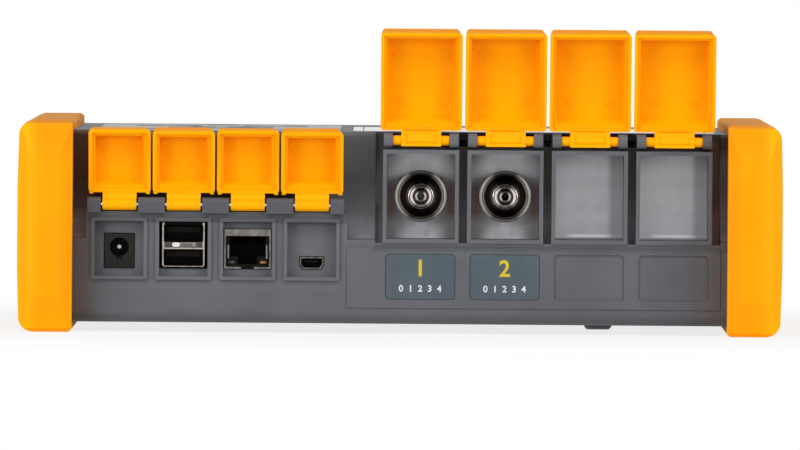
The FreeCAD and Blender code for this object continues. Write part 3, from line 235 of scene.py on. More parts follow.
def finish(name, dark, light, rough, grain=2500.0, depth=0.02, mottle=60.0, metal=0.0, specular=0.5,
           rough_swing=0.06, stretch=None):
    """A mottled, grained finish: two tones of one colour, roughness that drifts with the mottle, and a bump.

    Depth is the grain's in millimetres; grain and mottle are how many repeats go into a metre.
    """
    material = bpy.data.materials.new(name)
    material.use_nodes = True
    tree = material.node_tree
    n, link = tree.nodes, tree.links.new
    shader = n["Principled BSDF"]
    source = n.new("ShaderNodeTexCoord").outputs["Object"]
    if stretch:
        mapping = n.new("ShaderNodeMapping")
        mapping.inputs["Scale"].default_value = stretch
        link(source, mapping.inputs["Vector"])
        source = mapping.outputs["Vector"]
    texture = place_group(tree, GRAIN, Grain_size=grain, Mottle_size=mottle)
    link(source, texture.inputs["Vector"])
    tones = place_group(tree, TONES, Dark=dark, Light=light)
    link(texture.outputs["Mottle"], tones.inputs["Mask"])
    link(tones.outputs["Colour"], shader.inputs["Base Color"])
    mottle_low, mottle_high = 0.3, 0.7
    gloss = ramp(tree, texture.outputs["Mottle"], mottle_low, mottle_high, rough - rough_swing,
                 rough + rough_swing)
    link(gloss, shader.inputs["Roughness"])
    bump = n.new("ShaderNodeBump")
    bump.inputs["Strength"].default_value = 0.5
    bump.inputs["Distance"].default_value = depth * MM
    link(texture.outputs["Height"], bump.inputs["Height"])
    link(bump.outputs["Normal"], shader.inputs["Normal"])
    shader.inputs["Metallic"].default_value = metal
    shader.inputs["Specular IOR Level"].default_value = specular
    return material


def in_millimetres(tree, x0=0.0, z0=0.0):
    """Object coordinates as three sockets in millimetres, with x and z measured from a chosen axis."""
    n, link = tree.nodes, tree.links.new
    place = n.new("ShaderNodeTexCoord")
    scale = n.new("ShaderNodeVectorMath")
    scale.operation = "MULTIPLY_ADD"
    scale.inputs[1].default_value = (1 / MM, 1 / MM, 1 / MM)
    scale.inputs[2].default_value = (-x0, 0, -z0)
    link(place.outputs["Object"], scale.inputs[0])
    split = n.new("ShaderNodeSeparateXYZ")
    link(scale.outputs["Vector"], split.inputs["Vector"])
    return split.outputs["X"], split.outputs["Y"], split.outputs["Z"]


def in_bay(tree, height):
    """x and z in millimetres from the middle of whichever bay a point is in, and from a chosen height."""
    x, _, z = in_millimetres(tree, first_bay, height)
    return calculate(tree, "WRAP", x, bay_pitch / 2, -bay_pitch / 2), z


def radius_of(tree, x, z):
    """The distance from an axis that runs along y."""
    squares = [calculate(tree, "MULTIPLY", leg, leg) for leg in (x, z)]
    return calculate(tree, "SQRT", calculate(tree, "ADD", *squares))


def at_connectors(tree, y):
    """1 at the connector end of the housing, and 0 on the faces behind it."""
    return ramp(tree, y, -58, -54, 1, 0)


def over_bays(tree, x):
    """1 on the panel of the bays, and 0 on the panel of the small sockets."""
    return ramp(tree, x, panels_part - 0.5, panels_part + 0.5)


# ---------------------------------------------------------------- painted light and shade that follow the shape, with a seam and mould marks
def dark_inside(material, lip, fade, bands=(), centre=0.0, half=20.0):
    """Painted shade inside a plated shell: bright at its front edge and painted near-black with depth, as
    colour and metal fade.

    The bands are heights between which the front edge gets painted shade too, within half a width of the
    centre.
    """
    tree = material.node_tree
    side, depth, height = in_millimetres(tree, centre)
    mask = ramp(tree, depth, lip, lip + fade)
    for bottom, top in bands:
        above = calculate(tree, "GREATER_THAN", height, bottom)
        below = calculate(tree, "LESS_THAN", height, top)
        near = calculate(tree, "LESS_THAN", calculate(tree, "ABSOLUTE", side), half)
        mask = calculate(tree, "MAXIMUM", mask, overlap(tree, above, below, near))
    # The near-black is painted shade, standing in for the dark inside of the shell.
    overlay_colour(material, mask, paint(9, 7, 6))
    shader = tree.nodes["Principled BSDF"]
    for name, inner in (("Metallic", 0), ("Specular IOR Level", 0.05)):
        slot = shader.inputs[name]
        tree.links.new(ramp(tree, mask, 0, 1, slot.default_value, inner), slot)


def ring_zones(material, zones):
    """Turned metal round each adapter's axis with painted reflections: a colour at each radius, painted
    highlights to the sides and painted shade above.
    """
    tree = material.node_tree
    x, z = in_bay(tree, adapter_height)
    radius = radius_of(tree, x, z)
    never_zero = calculate(tree, "ADD", radius, 0.01)
    sideways = calculate(tree, "ABSOLUTE", calculate(tree, "DIVIDE", x, never_zero))
    upwards = calculate(tree, "DIVIDE", z, never_zero)
    # Painted highlight: brighter where the ring faces the sides and a little at its foot, with painted shade
    # above.
    side_light = ramp(tree, sideways, 0.42, 0.9, 0.06, 1.0)
    foot_light = ramp(tree, upwards, -1.0, -0.6, 0.2, 0.07)
    light = calculate(tree, "MAXIMUM", side_light, foot_light)
    colour = mix_colours(tree, 1.0, colour_stops(tree, radius, zones), light, "MULTIPLY")
    shader = tree.nodes["Principled BSDF"]
    tree.links.new(colour, shader.inputs["Base Color"])
    rim_inner, rim_outer = 7.45, 7.75
    tree.links.new(ramp(tree, radius, rim_inner, rim_outer, 1.0, 0.25), shader.inputs["Metallic"])


def towards_guards(material):
    """The connector end is painted dimmer and browner towards the guards: painted shade where they shade it,
    and painted orange light where they lend it their colour.
    """
    tree = material.node_tree
    x, y, _ = in_millimetres(tree)
    # Painted shade multipliers along x, darkest and brownest beside each guard.
    shades = [(-108, (0.70, 0.51, 0.45)), (-103.5, (0.70, 0.60, 0.56)), (-99.5, (0.69, 0.68, 0.68)),
              (-95.5, (0.85, 0.85, 0.84)), (-87, (1, 1, 1)), (20, (1, 1, 1)), (45, (0.93, 0.93, 0.93)),
              (78, (0.92, 0.92, 0.92)), (88.5, (0.78, 0.78, 0.79)), (98, (0.66, 0.60, 0.60)),
              (104, (0.80, 0.68, 0.62)), (108, (0.90, 0.78, 0.72))]
    tint(material, x, shades, at_connectors(tree, y))


def scoop_light(material):
    """The scoops beside the panels: painted shade, dark brown, in their depth, and painted light where they
    run out below.
    """
    tree = material.node_tree
    x, y, z = in_millimetres(tree)
    off = calculate(tree, "ABSOLUTE", x)
    scoop_start, scoop_full = 96, 98
    front_shell = overlap(tree, at_connectors(tree, y), ramp(tree, z, parting, parting + 0.2))
    ends = overlap(tree, front_shell, ramp(tree, off, scoop_start, scoop_full))
    right_lit = overlap(tree, ends, ramp(tree, x, 105.6, 106.2), ramp(tree, z, 62, 58))
    left_lit = overlap(tree, ends, ramp(tree, x, -scoop_start, -scoop_full), ramp(tree, z, 41, 36.5))
    inner_lit = overlap(tree, front_shell, ramp(tree, off, scoop_full, scoop_start), ramp(tree, z, 40, 36))
    # Painted shade in the scoops' depth, then painted light where they turn up towards the lamps.
    lay_colours(material, (ends, paint(75, 51, 36)), (right_lit, paint(138, 134, 143)),
                (left_lit, paint(114, 104, 104)), (inner_lit, paint(113, 115, 121)))


def bay_shade(material):
    """A soft shade on the housing along the foot of the bays."""
    tree = material.node_tree
    x, y, z = in_millimetres(tree)
    under_bays = ramp(tree, z, bay_foot - 1.8, bay_foot - 0.3, 0, 0.5)
    on_plinth = ramp(tree, x, bays_left - 0.5, bays_left)
    outer_face = ramp(tree, y, -60, -58, 1, 0)
    overlay_colour(material, overlap(tree, under_bays, on_plinth, outer_face), paint(56, 56, 59))


def seam(material, height, half):
    """A thin dark line where the two halves of the housing meet."""
    tree = material.node_tree
    off = calculate(tree, "ABSOLUTE", in_millimetres(tree, 0, height)[2])
    overlay_colour(material, ramp(tree, off, half * 0.4, half, 0.6, 0), paint(40, 41, 44))


def panel_edges(material):
    """The panels are shaded along the foot of the bays and above the small sockets."""
    tree = material.node_tree
    x, y, z = in_millimetres(tree)
    outer_face = ramp(tree, y, -70, -69, 1, 0)
    at_bays = over_bays(tree, x)
    at_sockets = calculate(tree, "SUBTRACT", 1.0, at_bays)
    foot = overlap(tree, ramp(tree, z, bay_foot + 1.4, bay_foot + 0.6, 0, 0.5), at_bays)
    brow = overlap(tree, ramp(tree, z, 36.0, 36.6, 0, 0.5), at_sockets)
    mask = overlap(tree, calculate(tree, "MAXIMUM", foot, brow), outer_face)
    overlay_colour(material, mask, paint(54, 54, 57))


def slot_floor(material):
    """The floor of the slots between the bays is painted lighter downwards, as painted light, and painted
    brown shade beside the guard.
    """
    tree = material.node_tree
    x, y, z = in_millimetres(tree)
    deep = overlap(tree, ramp(tree, y, -64, -63.4), over_bays(tree, x))
    upper = overlap(tree, deep, ramp(tree, z, 36, 40), ramp(tree, z, 34, 48))
    first_slot = overlap(tree, deep, ramp(tree, x, -3.5, -4.5), ramp(tree, z, 32, 41))
    guard_slot = overlap(tree, deep, ramp(tree, x, 102.5, 103.5))
    guard_foot = overlap(tree, guard_slot, ramp(tree, z, 45, 33))
    # Painted light and shade: a light floor, a darker upper part, a dark first slot, and brown shade and
    # light beside the guard.
    lay_colours(material, (deep, paint(168, 162, 164)), (upper, paint(116, 110, 108)),
                (first_slot, paint(80, 77, 77)), (guard_slot, paint(92, 68, 58)),
                (guard_foot, paint(156, 121, 104)))


def guard_tones(material):
    """Painted light and shade on the guards: painted shade below their top bevel, a painted highlight on
    their outer edge and a painted grey sheen on top.
    """
    tree = material.node_tree
    x, y, z = in_millimetres(tree)
    top, side = high("left_bumper").z, high("right_bumper").x
    bevel = overlap(tree, ramp(tree, z, top - 15, top - 7, 0, 0.6), ramp(tree, y, -66, -62, 1, 0))
    outer_edge = ramp(tree, calculate(tree, "ABSOLUTE", x), side - 7, side - 3.5, 0, 0.8)
    top_edge = ramp(tree, z, top - 1.6, top - 0.2, 0, 0.5)
    # Painted shade on the bevel, a painted highlight on the outer edge, a painted grey sheen on the top edge.
    lay_colours(material, (bevel, paint(250, 146, 0)), (outer_edge, paint(255, 176, 10)),
                (top_edge, paint(205, 140, 60)))


def dark_sides(material):
    """Painted shade on the plate behind each adapter: brightest above and below it, with painted shadow to
    its left and right.
    """
    tree = material.node_tree
    x, z = in_bay(tree, adapter_height)
    off = calculate(tree, "ABSOLUTE", x)
    # Painted shade: the plate darkens with distance to the sides of the adapter.
    tint(material, off, [(0, (1, 1, 1)), (4.5, (0.94, 0.94, 0.94)), (7.2, (0.68, 0.67, 0.67)),
                         (10.5, (0.38, 0.37, 0.37))])
    lower_corners = overlap(tree, ramp(tree, z, -6.5, -11), ramp(tree, off, 3.5, 9, 0, 0.85))
    level = calculate(tree, "ABSOLUTE", calculate(tree, "ADD", z, 1.6))
    beside = overlap(tree, ramp(tree, off, 5.5, 9.5), ramp(tree, level, 4.0, 8.6, 1, 0))
    # Painted shadow in the lower corners and beside the adapter, brownish where the adapter's shadow falls.
    lay_colours(material, (lower_corners, paint(104, 101, 102)), (beside, paint(116, 97, 90)))


def worn_light(material):
    """The plates of the empty bays with painted light and shade: lighter above, a painted shadow band on the
    right, a painted highlight line along the lower wall and painted shade at the foot.
    """
    tree = material.node_tree
    bottom, top = low("blanking_plates").z, high("blanking_plates").z
    height = top - bottom
    x, z = in_bay(tree, bottom)
    upper = overlap(tree, ramp(tree, z, 0.4 * height, 0.8 * height), ramp(tree, x, -9, -1, 0.5, 1))
    right_band = ramp(tree, x, 5.6, 7.6, 0, 0.75)
    line = overlap(tree, ramp(tree, z, 0.6, 0.9), ramp(tree, z, 1.5, 1.8, 1, 0),
                   ramp(tree, calculate(tree, "ABSOLUTE", x), 4.5, 8.0, 1, 0.1))
    foot = ramp(tree, z, 0.2, 0.6, 0.7, 0)
    # Painted light and shade: lighter upper part, shadow band on the right, highlight on the lower wall,
    # shade at the foot.
    lay_colours(material, (upper, paint(206, 207, 212)), (right_band, paint(126, 127, 131)),
                (line, paint(226, 226, 228)), (foot, paint(96, 96, 99)))


def ejector_marks(material, cap):
    """Two faint discs on the floor of each large cap, where the mould's pins pushed it out."""
    tree = material.node_tree
    rise, half_spacing, disc_radius = 14.5, 6.8, 1.6
    x, z = in_bay(tree, low(cap).z + rise)
    off = calculate(tree, "SUBTRACT", calculate(tree, "ABSOLUTE", x), half_spacing)
    radius = radius_of(tree, off, z)
    from_edge = calculate(tree, "ABSOLUTE", calculate(tree, "SUBTRACT", radius, disc_radius))
    edge = ramp(tree, from_edge, 0.1, 0.35, 0.3, 0.0)
    disc = ramp(tree, radius, disc_radius - 0.1, disc_radius + 0.1, 0.14, 0.0)
    overlay_colour(material, calculate(tree, "MAXIMUM", edge, disc), paint(246, 128, 0))


# ---------------------------------------------------------------- finishes
def cap_finish(name, lean, cap):
    """Soft orange with painted light and shade: painted paler on the rim and towards the foot than deep
    inside the hollow; lean is the open cap's tilt in degrees.
    """
    material = finish(name, paint(252, 155, 0), paint(254, 161, 1), 0.55, grain=2600, depth=0.01, mottle=45,
                      specular=0.05)
    # How far a point lies behind the rim is measured square to the open cap.
    lean_y, lean_z = math.cos(math.radians(lean)), math.sin(math.radians(lean))
    bottom, top = low(cap).z, high(cap).z
    above_hinge = bottom + 10
    corners = [v.co / MM for v in nodes[cap].data.vertices if v.co.z / MM > above_hinge]
    rim = min(v.y * lean_y + v.z * lean_z for v in corners)
    tree = material.node_tree
    _, y, z = in_millimetres(tree)
    depth = calculate(tree, "ADD", calculate(tree, "MULTIPLY", y, lean_y),
                      calculate(tree, "MULTIPLY", z, lean_z))
    tall = top - bottom
    foot = ramp(tree, z, top - 0.2 * tall, bottom + 0.25 * tall)
    # Painted light: the hollow is painted lighter towards the cap's foot and along its rim than deep inside.
    lay_colours(material, (foot, paint(255, 173, 0)),
                (ramp(tree, depth, rim + 0.2, rim + 2.6, 1, 0), paint(255, 172, 4)))
    return material


housing_grey = finish("housing grey", paint(84, 86, 91), paint(92, 94, 99), 0.55, grain=3200, depth=0.03,
                      specular=0.3)
panel_grey = finish("socket panel grey", paint(88, 90, 95), paint(95, 97, 102), 0.55, grain=3200, depth=0.02,
                    specular=0.3)
guard_orange = finish("guard orange", paint(250, 156, 0), paint(252, 162, 2), 0.6, grain=2200, depth=0.02,
                      mottle=30, specular=0.08)
jack_black = finish("jack black", paint(18, 14, 13), paint(26, 21, 20), 0.5, specular=0.2)
insert_black = finish("insert black", paint(7, 5, 4), paint(12, 9, 8), 0.6, specular=0.1)
tinned_steel = finish("tinned steel", paint(150, 140, 130), paint(200, 190, 182), 0.3, grain=1500, depth=0.01,
                      mottle=400, metal=1.0, stretch=(1, 12, 1))
socket_shield = finish("socket shield", paint(100, 96, 93), paint(142, 138, 134), 0.34, grain=1500,
                       depth=0.01, mottle=500, metal=1.0)
small_shield = finish("small shield", paint(84, 78, 73), paint(130, 122, 116), 0.3, depth=0.004, mottle=600,
                      metal=1.0)
pin_steel = finish("pin steel", paint(170, 170, 170), paint(195, 195, 195), 0.25, metal=1.0, depth=0.004)
nickel = finish("nickel", paint(60, 54, 50), paint(80, 72, 66), 0.24, grain=900, depth=0.004, metal=1.0)
nut_nickel = finish("nut nickel", paint(62, 54, 50), paint(96, 88, 82), 0.3, grain=900, depth=0.006,
                    metal=1.0)
gold_flash = finish("gold flash", paint(70, 52, 20), paint(90, 68, 28), 0.3, metal=1.0, depth=0.004)
ceramic = finish("fired ceramic", paint(92, 88, 86), paint(122, 118, 115), 0.25, depth=0.004)
plate_grey = finish("plate grey", paint(172, 173, 177), paint(184, 185, 189), 0.5, grain=2600, depth=0.02,
                    mottle=160, specular=0.3)
adapter_plate = finish("adapter plate", paint(226, 227, 231), paint(244, 245, 248), 0.5, grain=2600,
                       depth=0.03, mottle=260, specular=0.3)
overlay_grey = finish("overlay film", paint(173, 171, 165), paint(183, 181, 175), 0.5, grain=5000, depth=0.01,
                      specular=0.35)
key_grey = finish("key rubber", paint(112, 112, 112), paint(122, 122, 122), 0.6, grain=3000, depth=0.01)
seal_black = finish("seal black", paint(28, 28, 28), paint(36, 36, 36), 0.8)
screen_black = finish("screen black", paint(10, 11, 13), paint(13, 14, 16), 0.35, depth=0.003)
board_green = finish("solder mask", paint(6, 22, 14), paint(9, 28, 18), 0.45, mottle=200)
silicone_grey = finish("silicone", paint(150, 150, 148), paint(160, 160, 158), 0.45)
module_alloy = finish("cast alloy", paint(150, 151, 154), paint(172, 173, 176), 0.4, grain=1800, metal=1.0)
jacket_yellow = finish("fibre jacket", paint(225, 200, 60), paint(232, 208, 70), 0.35)
wrap_blue = finish("battery wrap", paint(40, 70, 120), paint(46, 78, 130), 0.25)
stand_black = finish("stand black", paint(30, 26, 25), paint(38, 34, 33), 0.5, grain=3000, depth=0.03)
lamp_green = finish("lamp lens", paint(150, 158, 150), paint(160, 168, 160), 0.15, depth=0.002, specular=0.7)
cover_glass = finish("cover glass", paint(8, 9, 11), paint(10, 11, 13), 0.1, depth=0.001, mottle=20,
                     rough_swing=0.02, specular=0.6)
label_blue = finish("label film", paint(68, 79, 87), paint(76, 87, 95), 0.45, grain=4000, depth=0.006,
                    specular=0.35)
print_white = finish("print white", paint(214, 214, 210), paint(226, 226, 222), 0.5, depth=0.002)
print_yellow = finish("print yellow", paint(196, 172, 30), paint(206, 182, 38), 0.5, depth=0.002)
print_dark = finish("print dark", paint(48, 49, 52), paint(56, 57, 60), 0.6, depth=0.002)
lamp_amber = finish("socket lamp amber", paint(120, 72, 22), paint(214, 138, 48), 0.3, mottle=900,
                    depth=0.004)
lamp_dim = finish("socket lamp dim", paint(34, 36, 37), paint(74, 78, 80), 0.3, mottle=900, depth=0.004)
# Dim brown for the sheet of painted shade over the steel wall between the USB mouths.
wall_shade_brown = finish("usb wall in shade", paint(40, 34, 31), paint(74, 66, 61), 0.4, mottle=700, depth=0.004)
spring_bright = finish("spring bright", paint(210, 205, 200), paint(245, 242, 238), 0.22, depth=0.003,
                       mottle=500, metal=1.0)
spring_grey = finish("spring grey", paint(96, 92, 90), paint(150, 146, 143), 0.35, depth=0.003, mottle=900)
large_cap_orange = cap_finish("optical cap orange", 15, "test_port_cap")

# Painted shade inside the USB, network and mini USB shells, and on their dark bands.
dark_inside(tinned_steel, lip=low("usb_shell").y + 0.35, fade=0.5,
            bands=[(usb_floor - 1, usb_floor + 0.5), (usb_roof - 0.75, usb_roof + 1),
                   (usb_wall + 0.45, usb_wall + 2.4)],
            centre=middle("usb_shell").x, half=6.3)
dark_inside(socket_shield, lip=low("network_shield").y + 0.7, fade=0.5,
            bands=[(network_floor - 1, network_floor + 1)], centre=middle("network_shield").x, half=2.1)
dark_inside(small_shield, lip=low("mini_usb_shell").y + 0.3, fade=0.4)
# These radii's colours are painted reflections on the turned metal: white rings for highlights, near-black
# for the shaded dish.
ring_zones(nickel, [(2.2, paint(60, 44, 38)), (2.6, paint(66, 50, 44)), (2.9, paint(214, 208, 202)),
                    (4.1, paint(246, 243, 240)), (4.6, paint(170, 158, 148)), (4.85, paint(30, 22, 19)),
                    (6.6, paint(20, 14, 12)), (6.9, paint(44, 34, 30)), (7.15, paint(150, 138, 126)),
                    (7.4, paint(50, 40, 35)), (7.75, paint(140, 132, 126)), (8.1, paint(240, 238, 235)),
                    (8.6, paint(246, 244, 242))])
# The sleeve's own pale grey, with painted shade at its bore and edge and painted highlights to the sides.
ring_zones(ceramic, [(1.2, paint(120, 116, 112)), (1.35, paint(190, 187, 183)), (1.7, paint(182, 178, 174)),
                     (1.95, paint(92, 80, 74)), (2.2, paint(60, 46, 40))])
# Painted light and shade on the housing, panels, guards and plates; the seam and the ejector marks are real
# marks.
towards_guards(housing_grey)
towards_guards(panel_grey)
scoop_light(housing_grey)
bay_shade(housing_grey)
panel_edges(panel_grey)
slot_floor(panel_grey)
guard_tones(guard_orange)
seam(housing_grey, parting, 0.28)
dark_sides(adapter_plate)
worn_light(plate_grey)
ejector_marks(large_cap_orange, "test_port_cap")

FINISHES = {
    housing_grey: ["rear_shell", "front_shell", "battery_cover"],
    panel_grey: ["socket_panel", "optical_panel"],
    guard_orange: ["left_bumper", "right_bumper"],
    large_cap_orange: ["fault_laser_cap", "test_port_cap", "spare_cap_1", "spare_cap_2"],
    cap_finish("upright cap orange", 12, "power_cap"): ["power_cap", "network_cap"],
    cap_finish("leaning cap orange", 16.5, "usb_cap"): ["usb_cap", "mini_usb_cap"],
    pin_steel: ["cap_hinge_pins", "power_jack_pin", "board_screws", "battery_cover_screws", "case_screws",
                "kickstand_pin"],
    jack_black: ["power_jack", "buzzer"],
    insert_black: ["usb_tongues", "network_insert", "mini_usb_tongue"],
    tinned_steel: ["usb_shell"],
    socket_shield: ["network_shield"],
    small_shield: ["mini_usb_shell"],
    gold_flash: ["network_contacts"],
    nickel: ["fault_laser_adapter", "test_port_adapter"],
    nut_nickel: ["adapter_nuts"],
    ceramic: ["adapter_sleeves"],
    plate_grey: ["blanking_plates"],
    adapter_plate: ["adapter_plates"],
    cover_glass: ["display_glass"],
    seal_black: ["display_gasket"],
    screen_black: ["display_panel"],
    overlay_grey: ["keypad_overlay"],
    silicone_grey: ["key_mat"],
    board_green: ["keypad_board", "main_board"],
    lamp_green: ["status_lamps"],
    module_alloy: ["optical_module", "fault_laser"],
    jacket_yellow: ["fibre_pigtail"],
    wrap_blue: ["battery_pack"],
    stand_black: ["kickstand"],
    key_grey: [name for name in nodes if name.endswith("_key")],
}
for material, names in FINISHES.items():
    for name in names:
        for slot in nodes[name].material_slots:
            slot.material = material


# ---------------------------------------------------------------- small trim
def settle(name, material, body="instrument"):
    """Names the active piece, puts its place into the mesh and lets it ride on a body."""
    piece = bpy.context.object
    bpy.ops.object.transform_apply(location=True, rotation=True, scale=True)
    piece.name = name
    piece.data.materials.clear()
    piece.data.materials.append(material)
    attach(piece, body)


FRONT = (math.pi / 2, 0, 0)
UP = (0, 0, 0)
# How far trim is let into the face under it.
SUNK = 0.02


def thin_plate(name, material, place, width, height, thick, corner, facing=FRONT, body="instrument"):
    """A plate with round corners whose back lies at the given place."""
    bpy.ops.object.select_all(action="DESELECT")
    bpy.ops.mesh.primitive_plane_add(size=1)
    plate = bpy.context.object
    plate.scale = (width * MM, height * MM, 1)
    bpy.ops.object.transform_apply(scale=True)
    bpy.ops.object.mode_set(mode="EDIT")
    bpy.ops.mesh.select_all(action="SELECT")
    bpy.ops.mesh.bevel(offset=corner * MM, segments=6, affect="VERTICES")
    bpy.ops.mesh.extrude_region_move(TRANSFORM_OT_translate={"value": (0, 0, thick * MM)})
    bpy.ops.mesh.select_all(action="SELECT")
    bpy.ops.mesh.normals_make_consistent(inside=False)
    bpy.ops.object.mode_set(mode="OBJECT")
    plate.rotation_euler = facing
    plate.location = Vector(place) * MM
    settle(name, material, body)


def numeral(name, text, material, place, size):
    """Printed figures that face the front, with their middle at the given place."""
    bpy.ops.object.select_all(action="DESELECT")
    bpy.ops.object.text_add()
    letter = bpy.context.object
    letter.data.body = text
    letter.data.size = size * MM
    letter.data.align_x = "CENTER"
    letter.data.align_y = "CENTER"
    ink_half, boldness = 0.03, 0.02
    letter.data.extrude = ink_half * MM
    letter.data.offset = boldness * size * MM
    letter.rotation_euler = FRONT
    letter.location = Vector(place) * MM
    bpy.ops.object.convert(target="MESH")
    settle(name, material)


def wire_ring(place, radius, wire, facing):
    """A round wire ring, left selected."""
    bpy.ops.mesh.primitive_torus_add(location=Vector(place) * MM, rotation=facing, major_radius=radius * MM,
                                     minor_radius=wire * MM, major_segments=64, minor_segments=8)
    return bpy.context.object


def labels():
    """Film labels in the first two recesses, each with its port's number and a row of plain figures."""
    recess_rise, recess_height, recess_depth = 8.2, 15.2, 0.55
    film_width, film_height, film, film_round = 22.8, 14.8, 0.36, 1.4
    recess_floor = low("rear_shell").y + recess_depth
    recess_middle = low("rear_shell").z + recess_rise + recess_height / 2
    film_back, print_y = recess_floor - 0.02, recess_floor - 0.42
    number_z, number_size = recess_middle + 2.6, 7.6
    scale_z, scale_size = recess_middle - 4.0, 3.0
    for i, x in enumerate(adapter_xs, 1):
        thin_plate(f"label_{i}", label_blue, (x, film_back, recess_middle), film_width, film_height, film,
                   film_round)
        numeral(f"label_{i}_number", str(i), print_yellow, (x, print_y, number_z), number_size)
        numeral(f"label_{i}_scale", "0  1  2  3  4", print_white, (x, print_y, scale_z), scale_size)


def thread_rings():
    """The screw thread on each adapter's barrel, as close rings."""
    barrel_end = low("test_port_adapter").y
    lead_in, pitch, turns, crest_radius, wire = 1.0, 0.75, 5, 3.98, 0.2
    for name, x in zip(("fault_laser", "test_port"), adapter_xs):
        bpy.ops.object.select_all(action="DESELECT")
        rings = []
        for turn in range(turns):
            place = (x, barrel_end + lead_in + pitch * turn, adapter_height)
            rings.append(wire_ring(place, crest_radius, wire, FRONT))
            bpy.ops.object.shade_smooth()
        for ring in rings:
            ring.select_set(True)
        bpy.context.view_layer.objects.active = rings[0]
        bpy.ops.object.join()
        settle(name + "_thread", nickel)


def usb_spring():
    """The bright contact spring in the wall between the two USB mouths, on a dim brown sheet of painted
    shade, with a dark strip of painted shade at its fold.
    """
    x, mouth, z = middle("usb_shell").x, low("usb_shell").y, usb_wall + 1.4
    for name, material, dx, dy, dz, width, height, thick, corner in (
            # The first sheet is painted shade over the wall; the last strip is painted shade in the spring's
            # fold.
            ("usb_wall_shade_sheet", wall_shade_brown, 0, 0.05, 0, 12.4, 1.9, 0.06, 0.1),
            ("usb_spring", spring_bright, -2.5, SUNK, 0.05, 2.4, 1.4, 0.14, 0.5),
            ("usb_spring_leaf", spring_grey, 1.2, SUNK, 0.1, 5.6, 1.25, 0.1, 0.25),
            ("usb_spring_fold_shade", print_dark, 1.0, -0.08, -0.05, 4.2, 0.4, 0.02, 0.15)):
        thin_plate(name, material, (x + dx, mouth + dy, z + dz), width, height, thick, corner)


def network_lamps():
    """Two light windows low on the face of the network socket."""
    x, face, z = middle("network_insert").x, low("network_insert").y, low("network_insert").z
    half_spacing, rise, width, height = 5.2, 1.6, 1.9, 0.75
    for name, side, material in (("network_lamp_left", -1, lamp_dim), ("network_lamp_right", 1, lamp_amber)):
        thin_plate(name, material, (x + side * half_spacing, face + SUNK, z + rise), width, height, 0.12, 0.2)


def network_side_springs():
    """The two contact springs of the network socket's shield, inside its left and right walls."""
    x, front = middle("network_shield").x, low("network_shield").y
    half_spacing, rise, width, height = 6.35, 5.6, 0.5, 4.6
    for name, side in (("network_spring_left", -1), ("network_spring_right", 1)):
        place = (x + side * half_spacing, front + 0.3, network_floor + rise)
        thin_plate(name, spring_grey, place, width, height, 0.2, 0.2)


def key_marks():
    """Plain marks on the keys: arrows, a ring and bars."""
    top = high("enter_key").z
    centre = middle("enter_key")
    reach, arrow_radius, ring_radius, wire = 13.6, 2.0, 3.4, 0.05
    for name, angle in (("up_key", 0), ("left_key", math.pi / 2), ("down_key", math.pi),
                        ("right_key", -math.pi / 2)):
        bpy.ops.object.select_all(action="DESELECT")
        spot = Vector((centre.x - reach * math.sin(angle), centre.y + reach * math.cos(angle), top))
        bpy.ops.mesh.primitive_cylinder_add(vertices=3, radius=arrow_radius * MM, depth=0.06 * MM,
                                            location=spot * MM, rotation=(0, 0, angle))
        settle(name + "_arrow", print_white, name + "_body")
    bpy.ops.object.select_all(action="DESELECT")
    wire_ring((centre.x, centre.y, top), ring_radius, wire, UP)
    settle("enter_key_ring", print_white, "enter_key_body")
    bar_spacing, bar_length, bar_width = 1.5, 6.5, 0.5
    for name in ("start_key", "menu_key", "file_key", "escape_key"):
        spot = middle(name)
        for i in (-1, 0, 1):
            place = (spot.x, spot.y + bar_spacing * i, top - SUNK)
            thin_plate(f"{name}_bar_{i + 2}", print_white, place, bar_length - 2 * abs(i), bar_width, 0.05,
                       0.2, UP, name + "_body")


def screen_edge():
    """The printed border of the screen's window, as four thin strips on the glass."""
    inset, line = 3.4, 0.35
    centre, size = middle("display_glass"), high("display_glass") - low("display_glass")
    glass_top = high("display_glass").z - SUNK
    width, height = size.x - 2 * inset, size.y - 2 * inset
    for name, dx, dy, long_x, long_y in (("screen_line_far", 0, height / 2, width, line),
                                         ("screen_line_near", 0, -height / 2, width, line),
                                         ("screen_line_left", -width / 2, 0, line, height),
                                         ("screen_line_right", width / 2, 0, line, height)):
        thin_plate(name, print_dark, (centre.x + dx, centre.y + dy, glass_top), long_x, long_y, 0.04, 0.1, UP)


labels()
thread_rings()
usb_spring()
network_lamps()
network_side_springs()
key_marks()
screen_edge()


# ---------------------------------------------------------------- room, light and camera
def to_camera(tree):
    """1 for rays that show the background itself: seen directly, in a reflection or through glass."""
    paths = tree.nodes.new("ShaderNodeLightPath")
    seen = calculate(tree, "MAXIMUM", paths.outputs["Is Camera Ray"], paths.outputs["Is Transmission Ray"])
    return calculate(tree, "MAXIMUM", seen, paths.outputs["Is Glossy Ray"])


def floor_white():
    """White floor that keeps a light shadow near the object and runs out into plain white."""
    material = bpy.data.materials.new("floor white")
    material.use_nodes = True
    tree = material.node_tree
    n, link = tree.nodes, tree.links.new
    shader = n["Principled BSDF"]
    shader.inputs["Base Color"].default_value = (0.9, 0.9, 0.9, 1)
    shader.inputs["Roughness"].default_value = 0.9
    shader.inputs["Specular IOR Level"].default_value = 0.1
    white = n.new("ShaderNodeEmission")
    place = n.new("ShaderNodeTexCoord")
    distance = n.new("ShaderNodeVectorMath")
    distance.operation = "LENGTH"
    link(place.outputs["Object"], distance.inputs[0])
    shadow_end, plain_white = 140 * MM, 300 * MM
    fade = ramp(tree, distance.outputs["Value"], shadow_end, plain_white, 0.8, 1.0)
    mix = n.new("ShaderNodeMixShader")
    link(overlap(tree, to_camera(tree), fade), mix.inputs[0])
    link(shader.outputs[0], mix.inputs[1])
    link(white.outputs[0], mix.inputs[2])
    link(mix.outputs[0], n["Material Output"].inputs["Surface"])
    return material


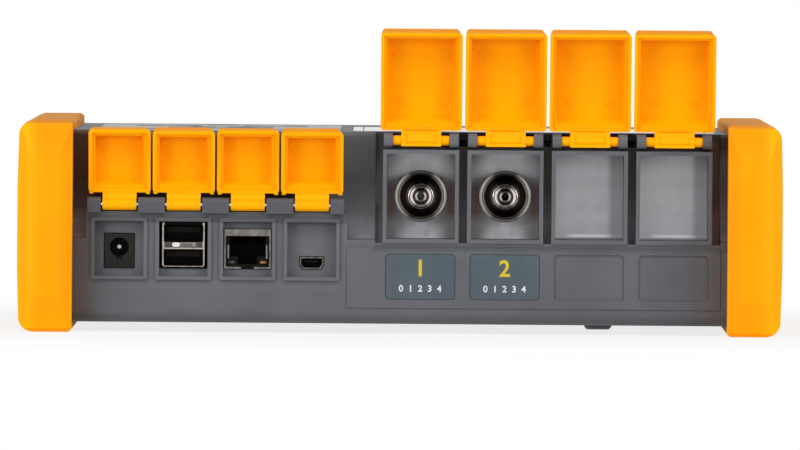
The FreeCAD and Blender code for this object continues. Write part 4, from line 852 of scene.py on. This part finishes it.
def lay_floor():
    """A wide floor at the object's foot."""
    bpy.ops.object.select_all(action="DESELECT")
    bpy.ops.mesh.primitive_plane_add(size=8.0, location=(0, 0, 0))
    floor = bpy.context.object
    floor.name = "floor"
    floor.data.materials.append(floor_white())


def studio_world():
    """Plain white where the background itself shows, and a dim even light on everything else."""
    world = bpy.data.worlds.new("studio")
    bpy.context.scene.world = world
    world.use_nodes = True
    tree = world.node_tree
    background = tree.nodes["Background"]
    background.inputs["Color"].default_value = (1, 1, 1, 1)
    dim, white = 0.22, 1.0
    tree.links.new(ramp(tree, to_camera(tree), 0, 1, dim, white), background.inputs["Strength"])


def softbox(name, place, target, width, height, power):
    """A rectangular lamp that faces its target; place, target and size are in metres."""
    light = bpy.data.lights.new(name, "AREA")
    light.shape = "RECTANGLE"
    light.size = width
    light.size_y = height
    light.energy = power
    lamp = bpy.data.objects.new(name, light)
    bpy.context.collection.objects.link(lamp)
    aim = Vector(target) - Vector(place)
    lamp.matrix_world = Matrix.Translation(place) @ aim.to_track_quat("-Z", "Y").to_matrix().to_4x4()


def front_camera():
    """A long lens on the connector end, a little above level and rolled by less than a degree."""
    distance, view_width = 4.37, 0.2642
    elevation, roll = math.radians(1.35), math.radians(0.45)
    target = Vector((0, low("left_bumper").y, 36.3)) * MM
    back = Vector((0, -math.cos(elevation), math.sin(elevation)))
    lens = bpy.data.cameras.new("camera")
    lens.sensor_width = 36
    lens.lens = lens.sensor_width * distance / view_width
    lens.clip_start = 0.1
    lens.clip_end = 30
    camera = bpy.data.objects.new("camera", lens)
    bpy.context.collection.objects.link(camera)
    turn = (-back).to_track_quat("-Z", "Y").to_matrix().to_4x4() @ Matrix.Rotation(roll, 4, "Z")
    camera.matrix_world = Matrix.Translation(target + back * distance) @ turn
    bpy.context.scene.camera = camera


lay_floor()
studio_world()
softbox("top front softbox", (0, -0.9, 1.1), (0, 0, 0), 1.3, 0.6, 9)
softbox("left softbox", (-1.15, -1.1, 0.35), (0, -0.05, 0.04), 0.6, 0.6, 9.5)
softbox("right softbox", (1.15, -1.1, 0.35), (0, -0.05, 0.04), 0.6, 0.6, 8.5)
front_camera()
bpy.context.scene.view_settings.view_transform = "Standard"
